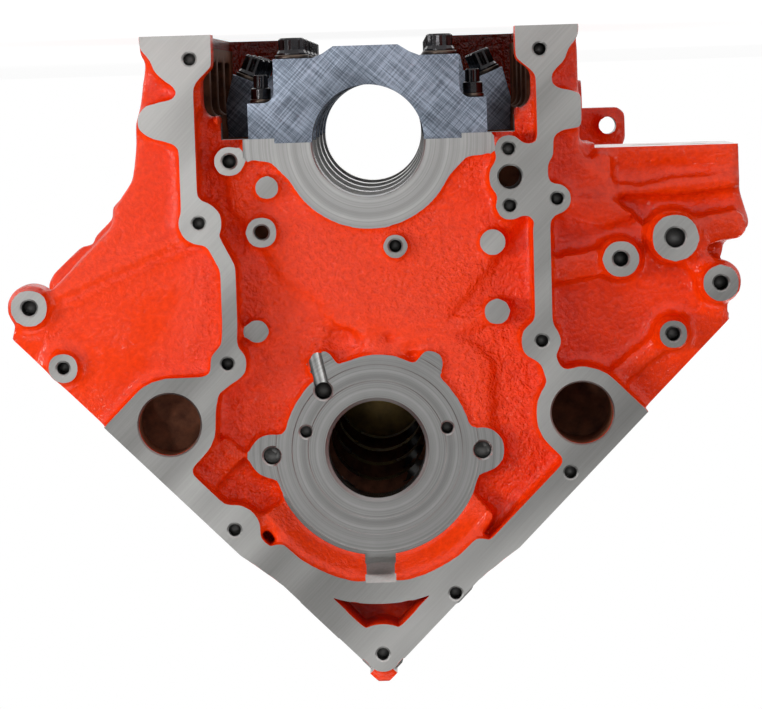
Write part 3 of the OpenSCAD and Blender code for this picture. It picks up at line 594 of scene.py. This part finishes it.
# %% Machining helper
SLOTS = [enamel, milled, cam_turned, crank_turned, bored, drilled, cavity]
ENAMEL, MILLED, CAM_TURNED, CRANK_TURNED, BORED, DRILLED, CAVITY = range(7)
AWAY = 30.0
for finish in SLOTS:
    casting.data.materials.append(finish)


def machine(name, tool):
    """Takes the closed solids in a bmesh away from the casting."""
    mesh = bpy.data.meshes.new(name)
    bmesh.ops.recalc_face_normals(tool, faces=tool.faces)
    tool.to_mesh(mesh)
    tool.free()
    for finish in SLOTS:
        mesh.materials.append(finish)
    cutter = bpy.data.objects.new(name, mesh)
    bpy.context.scene.collection.objects.link(cutter)
    cut = casting.modifiers.new(name, "BOOLEAN")
    cut.operation = "DIFFERENCE"
    cut.solver = "MANIFOLD"
    cut.object = cutter
    apply_modifiers(casting)
    bpy.data.objects.remove(cutter)
    bpy.data.meshes.remove(mesh)
    print(name, "leaves", len(casting.data.polygons), "faces")


def mill_box(name, low, high, material=MILLED):
    tool = bmesh.new()
    corners = [(low[0], low[2]), (high[0], low[2]), (high[0], high[2]), (low[0], high[2])]
    prism(tool, corners, low[1], high[1], material)
    machine(name, tool)


# %% Face the flange, the decks, the rails and the rear
WIDE = 300
BELOW, ABOVE = -120, 400
mill_box("flange face", (-WIDE, -AWAY, BELOW), (WIDE, 0, ABOVE))
for side in SIDES:
    for name, low_y, high_y, cut in (
            ("deck face", -AWAY, REAR_Y + AWAY,
             ((-300, DECK), (200, DECK), (200, DECK + 60), (-300, DECK + 60))),
            ("low deck", -AWAY, 41.0,
             ((-118, DECK), (-150, LOW_DECK), (-228, LOW_DECK), (-228, DECK + 6), (-118, DECK + 6)))):
        tool = bmesh.new()
        ends = [bank_way(side, across, up) for across, up in cut]
        prism(tool, [(p.x, p.z) for p in ends], low_y, high_y, MILLED)
        machine(name, tool)
mill_box("pan rails", (-WIDE, -AWAY, RAIL_Z - AWAY), (WIDE, REAR_Y + AWAY, RAIL_Z))
mill_box("rear face", (-WIDE, REAR_Y, BELOW), (WIDE, REAR_Y + AWAY, ABOVE))
mill_box("filter pad", (-WIDE, 30.0, -30.0), (-141.0, 180.0, FILTER_Z))

# %% [markdown]
# The round faces of the timing end come next. A collar bolts on to the camshaft plate, which steps
# down towards the bore, and the half ring below carries the first main bearing. A lathed profile gives
# the steps with their narrow slopes, which catch the light as thin circles.

# %% Face the bearing ring
RING = [(-78, -9), (-78, 8), (-74, 12), (-62, 13), (-59, 16), (-54, 24), (-44, 38), (-30, 49),
        (-15, 56), (0, 57.5), (15, 56), (30, 49), (44, 38), (54, 24), (59, 16), (62, 13), (74, 12),
        (77.6, 8), (77.6, -9)]
tool = bmesh.new()
prism(tool, RING, -AWAY, RING_FACE, CRANK_TURNED)
machine("bearing ring", tool)

# %% Face the camshaft plate, in its four steps, with its ears and lobes
tool = bmesh.new()
steps = [(42.75, -1.5), (43.25, -1.0), (52.75, -1.0), (53.25, -0.5), (62.75, -0.5), (63.25, 0.0), (65.2, 0.0),
         (65.2, 16.0)]
lathe(tool, at(0, RING_FACE, CAM_Z), FRONT, steps, 128, CAM_TURNED)
machine("camshaft plate", tool)
EAR_R = 15.5
round_faces = [(s * EARS[0], EARS[1], EAR_R) for s in SIDES]
round_faces += [(-34.2, CAM_Z - 52.5, 9.5), (33.6, CAM_Z - 54.0, 10.5)]
tool = bmesh.new()
for x, z, radius in round_faces:
    rod(tool, at(x, RING_FACE, z), FRONT, radius, 0.0, 14.0, 32, CAM_TURNED)
machine("ears and lobes", tool)

# %% [markdown]
# The ledge round the plate has a gap, where a bright ramp climbs to the flange. Beyond it a small
# three-cornered window lies between the flange and the apex of the two decks. Its far side follows the
# decks and goes round the boss at the apex.

# %% Mill the ramp
RAMP_W = 9.5
tool = bmesh.new()
slope = [(RING_FACE, 64.0), (RING_FACE, 67.0), (10.0, 70.5), (0.0, 80.5), (-AWAY, 80.5), (-AWAY, 64.0)]
ramp_sides = [[at(x, y, CAM_Z + r) for y, r in slope] for x in (-RAMP_W, RAMP_W)]
loft(tool, *ramp_sides, MILLED)
machine("ramp", tool)

# %% Cut the window
WINDOW_R = 94.0
WINDOW_W = 29.5
WINDOW_DEEP = 46.0
DECK_WALL = 20.0
APEX_BOSS_R = 19.5


def window_end(x):
    """The window's far edge: along the decks, and round the boss at the apex."""
    wall = (DECK - DECK_WALL) / HALF - abs(x)
    if abs(x) >= APEX_BOSS_R:
        return wall
    return min(wall, APEX[1] - math.sqrt(APEX_BOSS_R ** 2 - x * x))


across = [WINDOW_W * (i / 12 - 1) for i in range(25)]
near_edge = [(x, CAM_Z + math.sqrt(WINDOW_R ** 2 - x * x)) for x in across]
far_edge = [(x, window_end(x)) for x in across]
tool = bmesh.new()
prism(tool, near_edge + far_edge[::-1], -AWAY, WINDOW_DEEP, ENAMEL)
machine("window", tool)

# %% Spot-face the bosses
SPOT_MORE = 1.6
tool = bmesh.new()
for x, z, wide, _, face in bosses:
    rod(tool, at(x, face, z), FRONT, wide + SPOT_MORE, 0.0, 12.0, 32, MILLED)
for spot, way in mounts:
    rod(tool, spot, way, PAD_R + 2.0, 0.0, 10.0, 32, MILLED)
machine("bosses", tool)

# %% [markdown]
# The three bores are the heart of the block: the main bearings in line, the camshaft tunnel above
# them, and the eight cylinders, four to a bank. Each is one turned tool, with a chamfer where it
# breaks out. The main caps sit in a register, and below it the crankcase is open for them.

# %% Bore the crank line, the camshaft line and the cylinders
SEAL_R = 56.0
CAM_PLUG_R = 33.4
CAM_PLUG_DEEP = 14.0
last_web = MAIN_Y[4] + WEB
tool = bmesh.new()
lathe(tool, at(0, 0, 0), BACKWARD, [
      (MAIN_R + 1.0, -AWAY), (MAIN_R + 1.0, RING_FACE), (MAIN_R, RING_FACE + 1.0),
      (MAIN_R, last_web), (SEAL_R, last_web), (SEAL_R, REAR_Y + AWAY)], 96, BORED)
lathe(tool, at(0, 0, CAM_Z), BACKWARD, [
      (CAM_R + 2.2, 0), (CAM_R + 2.2, RING_FACE + 1.5), (CAM_R, RING_FACE + 3.7),
      (CAM_R, REAR_Y - CAM_PLUG_DEEP), (CAM_PLUG_R, REAR_Y - CAM_PLUG_DEEP), (CAM_PLUG_R, REAR_Y + AWAY)],
      96, BORED, [CAM_TURNED, CAM_TURNED, BORED, BORED, BORED])
for side in SIDES:
    for i in range(4):
        lathe(tool, bank_point(side, 0, 0, cylinder_y(side, i)), bank_way(side, 0, 1),
              [(BORE_R, 84.0), (BORE_R, DECK - 1.2), (BORE_R + 1.2, DECK), (BORE_R + 1.2, DECK + 8)],
              96, BORED)
machine("bores", tool)

# %% Face the bearings and make room for the caps
BEARING_FACE_R = 47.0
REGISTER_W = 58.1
CAP_W = 91.1
SEAL_W = 54.0
REAR_WALL = 18.0
tool = bmesh.new()
for y in MAIN_Y[1:]:
    rod(tool, at(0, y, 0), BACKWARD, BEARING_FACE_R, -2.0, 0.4, 64, CRANK_TURNED)
machine("bearing faces", tool)
mill_box("cap registers", (-REGISTER_W, -AWAY, RAIL_Z - AWAY), (REGISTER_W, last_web, SPLIT_Z))
mill_box("cap room", (-CAP_W, -AWAY, RAIL_Z - AWAY), (CAP_W, REAR_Y - REAR_WALL, REGISTER_Z))
mill_box("seal room", (-SEAL_W, last_web, RAIL_Z - AWAY), (SEAL_W, REAR_Y + AWAY, SPLIT_Z))

# %% [markdown]
# All drilling is one boolean: every hole with its cone at the bottom and its chamfer at the mouth, the
# plug seats, and the water ports, whose first millimetres are painted.

# %% Drill every hole, with its chamfer
CHAMFER = 1.1
PAINTED = 6.0
tool = bmesh.new()
for spot, way, radius, deep in holes:
    profile = [(0.0, -deep - radius * 0.6), (radius, -deep), (radius, -CHAMFER), (radius + CHAMFER, 0.0),
               (radius + CHAMFER, 5.0)]
    lathe(tool, spot, way, profile, 32, DRILLED, [DRILLED, DRILLED, MILLED, MILLED])
for spot, way, radius, deep in recesses:
    rod(tool, spot, way, radius, -deep, 12.0, 64, ENAMEL)
for spot, deep in ports:
    profile = [(PORT_R, -deep), (PORT_R, -PAINTED), (PORT_R, -1.2), (PORT_R + 1.0, 0.0), (PORT_R + 1.0, 4.0)]
    lathe(tool, spot, FRONT, profile, 64, ENAMEL, [CAVITY, ENAMEL, MILLED, MILLED])
machine("holes", tool)

# %% Mill the oil groove from its hole to the edge of the plate
GROOVE_R = 4.6
tool = bmesh.new()
start, end = at(OIL_HOLE[0], RING_FACE, OIL_HOLE[1]), at(39.0, RING_FACE, CAM_Z - 67.0)
rod(tool, start, end - start, GROOVE_R, 0.0, (end - start).length / MM, 32, CAM_TURNED)
machine("oil groove", tool)

# %% [markdown]
# ### Where the paint doesn't reach
# The rooms inside are still enamel, because they come from the cast skin. The middle of every face is
# tested against the rooms' own shapes: the round crankcase with its skirts, the chamber round the
# camshaft, the shaft between them, and the water jackets. What lies in one of them turns bare. The gap
# in the ledge is picked the same way and turns milled.

# %% The middle of every face
mesh = casting.data
middles = np.empty(len(mesh.polygons) * 3)
mesh.polygons.foreach_get("center", middles)
x, y, z = middles.reshape(-1, 3).T / MM
y = y + FLANGE_TO_BORE


def within(values, low, high):
    return (values > low) & (values < high)


print(len(y), "faces to sort")

# %% Turn the rooms inside bare and the gap milled
NEAR = 1.5
CRANKCASE_R = 106.0
CHAMBER_R = 40.0
SKIRT_X = 114.5
SKIRT_Z = -62.0
PASSAGE_X = 23.5
JACKET_UP = (132.5, 226.5)
JACKET_ACROSS = (-89.5, 61.5)
crankcase = np.hypot(x, z) < CRANKCASE_R + NEAR
skirts = within(x, -SKIRT_X - NEAR, SKIRT_X + NEAR) & within(z, SKIRT_Z, SPLIT_Z)
chamber = np.hypot(x, z - CAM_Z) < CHAMBER_R + NEAR
passage = within(x, -PASSAGE_X - NEAR, PASSAGE_X + NEAR) & within(z, 60.0, CAM_Z)
inside = within(y, MAIN_Y[0] + WEB - 1.0, REAR_Y - REAR_WALL) & (crankcase | skirts | chamber | passage)
for side in SIDES:
    up, across = (side * x + z) * HALF, (side * x - z) * HALF
    jacket = within(y, cylinder_y(side, 0) - BORE_R - NEAR, cylinder_y(side, 3) + BORE_R + NEAR)
    jacket &= within(up, JACKET_UP[0] - NEAR, JACKET_UP[1] + NEAR)
    inside |= jacket & within(across, JACKET_ACROSS[0] - NEAR, JACKET_ACROSS[1] + NEAR)
finish_of = np.empty(len(mesh.polygons), dtype=np.int32)
mesh.polygons.foreach_get("material_index", finish_of)
# The bare finish is also dark as painted shade inside these rooms.
finish_of[inside & (finish_of == ENAMEL)] = CAVITY
gap = within(x, -RAMP_W, RAMP_W) & within(z, CAM_Z + 64.0, CAM_Z + 80.0) & (y < RING_FACE + 1.0)
finish_of[gap & (finish_of == ENAMEL)] = MILLED
mesh.polygons.foreach_set("material_index", finish_of)
print(int((finish_of == CAVITY).sum()), "faces inside left bare")

# %% [markdown]
# ### Sharp edges and even pieces
# The cast skin is shaded smooth, and a machined face must not share that smoothing. So every edge
# between two finishes, or with a real corner, is marked sharp. With so many faces a loop in Python is
# slow, so the mesh is read into arrays, a column for each property.

# %% Mark the corners and read the mesh
CORNER = math.radians(32)
mesh.polygons.foreach_set("use_smooth", np.ones(len(mesh.polygons), dtype=bool))
mesh.set_sharp_from_angle(angle=CORNER)


def column(rows, name, kind=np.int32, wide=1):
    """One property of all vertices, loops, edges or faces, as an array."""
    values = np.empty(len(rows) * wide, dtype=kind)
    rows.foreach_get(name, values)
    return values.reshape(-1, wide) if wide > 1 else values


finish_of = column(mesh.polygons, "material_index")
sizes = column(mesh.polygons, "loop_total")
edge_of = column(mesh.loops, "edge_index")
print(len(sizes), "faces and", len(edge_of), "face corners")

# %% Mark the borders between two finishes
order = np.argsort(edge_of, kind="stable")
edges = edge_of[order]
kinds = np.repeat(finish_of, sizes)[order]
border = edges[1:][(edges[1:] == edges[:-1]) & (kinds[1:] != kinds[:-1])]
sharp = column(mesh.attributes["sharp_edge"].data, "value", bool)
sharp[border] = True
mesh.attributes["sharp_edge"].data.foreach_set("value", sharp)
print(int(sharp.sum()), "sharp edges,", len(border), "between two finishes")

# %% [markdown]
# The casting is handed over in slices along the crank line, because a mesh of half a million triangles
# is heavy to edit. The slices keep the normals of the whole, so no seam shows between them.

# %% Share out the faces
MOST_TRIANGLES = 180000
places = column(mesh.vertices, "co", np.float32, 3)
corner_vertex = column(mesh.loops, "vertex_index")
corner_normal = column(mesh.corner_normals, "vector", np.float32, 3)
starts = np.cumsum(sizes) - sizes
depth = np.add.reduceat(places[corner_vertex, 1], starts) / sizes
by_depth = np.argsort(depth, kind="stable")
count = np.cumsum((sizes - 2)[by_depth])
slices = int(count[-1] // MOST_TRIANGLES) + 1
slice_of = np.empty(len(sizes), dtype=np.int32)
slice_of[by_depth] = np.minimum(count * slices // (count[-1] + 1), slices - 1)
corner_slice = np.repeat(slice_of, sizes)
print(slices, "slices")

# %% Build the slices
for i in range(slices):
    corners = corner_slice == i
    used, renumbered = np.unique(corner_vertex[corners], return_inverse=True)
    lengths = sizes[slice_of == i]
    part = bpy.data.meshes.new("casting_%d" % (i + 1))
    part.vertices.add(len(used))
    part.vertices.foreach_set("co", places[used].ravel())
    part.loops.add(len(renumbered))
    part.loops.foreach_set("vertex_index", renumbered.astype(np.int32).ravel())
    part.polygons.add(len(lengths))
    part.polygons.foreach_set("loop_start", (np.cumsum(lengths) - lengths).astype(np.int32))
    part.polygons.foreach_set("material_index", finish_of[slice_of == i])
    part.update(calc_edges=True)
    for finish in SLOTS:
        part.materials.append(finish)
    part.normals_split_custom_set(corner_normal[corners])
    piece = bpy.data.objects.new(part.name, part)
    bpy.context.scene.collection.objects.link(piece)
    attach(piece, "root")
    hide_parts("block")
    print(part.name, "has", int((lengths - 2).sum()), "triangles")
bpy.data.objects.remove(casting)

# %% [markdown]
# ## Caps
# The caps are cut from steel billet: blue-grey, with fine crossed scratches from belt sanding, and a
# narrow broken edge that catches the light. Two stretched noises at right angles give the scratches.
# Washers, bolts and plugs are plain metals, a little stained, each with its own colour and gloss.


# %% Billet
SANDED = 42.0
DARK_BILLET, BRIGHT_BILLET = rgb(0.075, 0.092, 0.118), rgb(0.245, 0.285, 0.35)


def make_billet():
    f = Finish("cap_billet")
    one = f.wear(950.0, 2.0, 0.6, 30.0, (0.0, math.radians(SANDED), 0.0))
    two = f.wear(950.0, 2.0, 0.6, 30.0, (0.0, math.radians(SANDED - 90.0), 0.0))
    cross = f.maths("ADD", one, two)
    clouds = f.wear(26.0, 3.0, 0.6)
    tone = f.ramp(f.maths("ADD", cross, f.ramp(clouds, 0.3, 0.7, -0.12, 0.12)), 0.82, 1.22)
    colour = f.blend(tone, DARK_BILLET, BRIGHT_BILLET)
    return f.surface(Base_Color=colour, Metallic=0.75, Roughness=0.40, Normal=f.bump(cross, 0.00008))


billet = make_billet()
print("billet ready")


# %% Plain metals
def make_plain(name, colour, metallic, roughness):
    f = Finish(name)
    stains = f.wear(60.0, 4.0, 0.6)
    dark = rgb(*[c * 0.6 for c in colour])
    return f.surface(Base_Color=f.blend(f.ramp(stains, 0.35, 0.65), dark, rgb(*colour)), Metallic=metallic,
                     Roughness=f.ramp(stains, 0.3, 0.7, roughness - 0.05, roughness + 0.08),
                     Normal=f.bump(f.wear(500.0), 0.00004))


black_oxide = make_plain("black_oxide", (0.035, 0.034, 0.036), 0.9, 0.20)
washer_steel = make_plain("washer_steel", (0.10, 0.078, 0.062), 0.9, 0.32)
dowel_steel = make_plain("dowel_steel", (0.55, 0.55, 0.56), 1.0, 0.25)
plug_brass = make_plain("plug_brass", (0.62, 0.42, 0.16), 1.0, 0.32)
plug_steel = make_plain("plug_steel", (0.34, 0.34, 0.35), 1.0, 0.34)
print("plain metals ready")

# %% [markdown]
# These pieces have the right shape already, but their edges are razor sharp, and no real edge is. So
# each is copied, its flat facets are joined, and a bevel breaks every corner. Hardened normals keep
# the faces between the bevels flat.


# %% Copies with broken edges
def crisp(name, width, look):
    """Replaces a node by a copy whose corners are broken by a bevel of this width in mm."""
    bm = bmesh.new()
    bm.from_mesh(nodes[name].data)
    bmesh.ops.remove_doubles(bm, verts=bm.verts, dist=2e-6)
    bmesh.ops.dissolve_limit(bm, angle_limit=math.radians(0.5), verts=bm.verts, edges=bm.edges)
    mesh = bpy.data.meshes.new(name + "_crisp")
    bm.to_mesh(mesh)
    bm.free()
    return bevelled(bpy.data.objects.new(name + "_crisp", mesh), width, look, name)


def bevelled(piece, width, look, name):
    """Finishes a new piece and hides the node of this name."""
    bpy.context.scene.collection.objects.link(piece)
    mesh = piece.data
    mesh.polygons.foreach_set("use_smooth", np.ones(len(mesh.polygons), dtype=bool))
    mesh.materials.clear()
    mesh.materials.append(look)
    edge = piece.modifiers.new("broken edge", "BEVEL")
    edge.width = width * MM
    edge.segments = 2
    edge.limit_method = "ANGLE"
    edge.angle_limit = math.radians(28)
    edge.harden_normals = True
    apply_modifiers(piece)
    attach(piece, "root")
    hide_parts(name)
    print(piece.name, len(piece.data.polygons), "faces")
    return piece


# %% Caps, washers, dowels and plugs
for i in range(5):
    crisp("main_cap_%d" % (i + 1), 0.7, billet)
for name in ("inner_cap_washers", "outer_cap_washers", "splayed_cap_washers"):
    crisp(name, 0.35, washer_steel)
for name in ("cap_dowels", "head_dowels", "bell_dowels"):
    crisp(name, 0.4, dowel_steel)
for name in ("side_core_plugs", "rear_core_plugs", "cam_plug"):
    crisp(name, 0.5, plug_brass)
for name in ("rear_gallery_plugs", "drain_plugs"):
    crisp(name, 0.5, plug_steel)

# %% [markdown]
# ## Cap bolts
# The caps are held by twelve-point bolts, whose heads are two crossed hexagons. One ring of 24
# corners, alternately far and near, gives their outline, and stacking such rings makes the shank, the
# flange, the drive and its chamfered, dished top. A boolean of two prisms would be longer and less neat.

# %% Twelve-point bolt
WASHER = 2.5
CORNERS = 24


def star_bolt(bm, seat, way, levels):
    """Stacks rings of corners: levels list (far radius, near radius, height) in mm along way."""
    way, u, v = frame_of(way)
    rings = []
    for far, near, height in levels:
        centre = seat + way * height * MM
        ring = []
        for k in range(CORNERS):
            a = 2 * math.pi * k / CORNERS
            corner = u * math.cos(a) + v * math.sin(a)
            ring.append(bm.verts.new(centre + corner * (near if k % 2 else far) * MM))
        rings.append(ring)
    for low, high in zip(rings, rings[1:]):
        for i in range(CORNERS):
            j = (i + 1) % CORNERS
            bm.faces.new((low[i], low[j], high[j], high[i]))
    bm.faces.new(reversed(rings[0]))
    bm.faces.new(rings[-1])


def head_levels(shank, length, across, head, flange, flange_h, collar):
    """Shank, flange, drive and dished top of a bolt, from its tip to its head."""
    far, near = across / 2 / math.cos(math.pi / 6), across / 2 / math.cos(math.pi / 12)
    tip, foot, top = WASHER - length, WASHER + flange_h, WASHER + head
    levels = [(shank - 0.8, shank - 0.8, tip), (shank, shank, tip + 1.2), (shank, shank, WASHER),
              (flange, flange, WASHER)]
    if collar:
        levels += [(flange, flange, foot - 0.6), (collar, collar, foot), (far, near, foot)]
    else:
        levels += [(flange, flange, WASHER + 1.1), (far, near, foot + 0.4)]
    levels += [(far, near, top - 1.0), (near * 0.93, near * 0.93, top)]
    levels += [(near * 0.62, near * 0.62, top), (near * 0.5, near * 0.5, top - 0.8)]
    return levels


# %% [markdown]
# There are three sets. Every cap has two inner bolts. The first and last have upright outer ones with
# tall heads on a collar. The middle three have outer bolts that lean away from the crank, into the
# skirts. Each row gives the shank's radius, the length, the size across flats, the head, the flange
# and its height, the collar, the caps, and the place of the seat.

# %% Three sets of bolts
LEAN = math.radians(22)
sets = {"inner_cap_bolts": (6.0, 92.0, 14.5, 10.5, 9.25, 2.5, 0.0, range(5), 46.0, -52.0),
        "outer_cap_bolts": (4.0, 62.0, 8.0, 15.0, 6.2, 7.0, 5.2, (0, 4), 66.0, -25.0),
        "splayed_cap_bolts": (5.0, 84.0, 11.5, 13.0, 7.5, 2.5, 0.0, range(1, 4), 78.0, -40.0)}
for name, (shank, length, across, head, flange, flange_h, collar, caps, x, z) in sets.items():
    bm = bmesh.new()
    for i in caps:
        for s in SIDES:
            out = Vector((-s * math.sin(LEAN), 0, -math.cos(LEAN))) if name.startswith("splayed") else DOWN
            star_bolt(bm, at(s * x, MAIN_Y[i] + WEB / 2, z), out,
                      head_levels(shank, length, across, head, flange, flange_h, collar))
    bmesh.ops.recalc_face_normals(bm, faces=bm.faces)
    mesh = bpy.data.meshes.new(name + "_turned")
    bm.to_mesh(mesh)
    bm.free()
    bevelled(bpy.data.objects.new(mesh.name, mesh), 0.25, black_oxide, name)

# %% [markdown]
# ## Floor, background and light
# The block stands on a plain white floor that runs into a white background. Floor and world are white to the
# camera by Is Camera Ray, so no extra light falls on the block, and a grey base keeps its shadow. By Is
# Glossy Ray the floor glows in reflections, a painted light that puts highlights on the faces turned towards
# it, and the background shows softer.

# %% Floor
FLOOR_Z = RAIL_Z * MM
FLOOR_W = 9.0
floor_mesh = bpy.data.meshes.new("floor")
corners = [(x * FLOOR_W, y * FLOOR_W, FLOOR_Z) for x, y in ((-1, -1), (1, -1), (1, 1), (-1, 1))]
floor_mesh.from_pydata(corners, [], [(0, 1, 2, 3)])
floor = bpy.data.objects.new("floor", floor_mesh)
bpy.context.scene.collection.objects.link(floor)
f = Finish("floor_white")
rays = f.make("ShaderNodeLightPath")
grain = f.wear(3.0, 2.0)
seen = rays.outputs["Is Camera Ray"]
plain = f.blend(grain, rgb(0.80, 0.80, 0.80), rgb(0.84, 0.84, 0.84))
f.surface(Base_Color=f.blend(seen, plain, rgb(0.16, 0.16, 0.16)), Roughness=0.9, Specular_IOR_Level=0.0,
          Emission_Color=rgb(1, 1, 1))
# Painted light: the floor glows for glossy rays only, and shows as highlights on the metal and enamel.
glow = f.maths("MULTIPLY", rays.outputs["Is Glossy Ray"], 1.1)
f.set(f.shader.inputs["Emission Strength"], f.maths("MULTIPLY_ADD", seen, 0.93, glow))
floor_mesh.materials.append(f.material)
floor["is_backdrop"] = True

# %% World
world = bpy.data.worlds.new("studio")
bpy.context.scene.world = world
world.use_nodes = True
tree = world.node_tree
background = tree.nodes["Background"]
background.inputs["Color"].default_value = (1, 1, 1, 1)
rays = tree.nodes.new("ShaderNodeLightPath")


def world_maths(how, a, b):
    node = tree.nodes.new("ShaderNodeMath")
    node.operation = how
    for socket, value in zip(node.inputs, (a, b)):
        if isinstance(value, bpy.types.NodeSocket):
            tree.links.new(value, socket)
        else:
            socket.default_value = value
    return node.outputs[0]


mirrored = world_maths("MAXIMUM", rays.outputs["Is Glossy Ray"], rays.outputs["Is Transmission Ray"])
level = world_maths("MAXIMUM", world_maths("MULTIPLY", mirrored, 0.34), 0.24)
tree.links.new(world_maths("MAXIMUM", rays.outputs["Is Camera Ray"], level), background.inputs["Strength"])


# %% [markdown]
# The light is soft and plain. The key comes from the side at the height of the block, well off the
# camera's line, so that the flat machined faces don't mirror it. An overhead panel and a weaker one on
# the other side fill in, one behind lights the rear, and two small ones put glints on the enamel.


# %% Lamps
def panel(name, place, target, wide, high, watts):
    light = bpy.data.lights.new(name, "AREA")
    light.shape = "RECTANGLE"
    light.size, light.size_y, light.energy = wide, high, watts
    lamp = bpy.data.objects.new(name, light)
    bpy.context.scene.collection.objects.link(lamp)
    look = (Vector(target) - Vector(place)).normalized()
    lamp.matrix_world = Matrix.Translation(Vector(place)) @ look.to_track_quat("-Z", "Y").to_matrix().to_4x4()


panel("key", (1.5, -1.1, 0.12), (0, 0, 0.12), 0.6, 0.3, 17.0)
panel("other side", (-1.5, -1.2, 0.6), (0, 0, 0.12), 0.8, 0.6, 6.0)
panel("overhead", (0.2, -0.9, 2.1), (0, 0.1, 0.15), 1.6, 1.2, 15.0)
panel("high glint", (0.45, -1.6, 0.8), (0, 0, 0.12), 0.12, 0.12, 2.6)
panel("low glint", (0.85, -1.5, 0.02), (0, 0, 0.12), 0.14, 0.08, 3.2)
panel("rear", (-0.9, 2.2, 1.2), (0, 0.3, 0.1), 1.4, 1.4, 16.0)

# %% [markdown]
# ## Sizes
# The boxes round the imported model and round the dressed block are printed, one after the other.
# The dressed block has to stay inside the imported one.

# %% View transform and sizes
bpy.context.scene.view_settings.view_transform = "Standard"
visual_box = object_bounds()
for name, box in (("solids", cad_box), ("visual", visual_box)):
    print(name, [[round(c, 4) for c in p] for p in box])
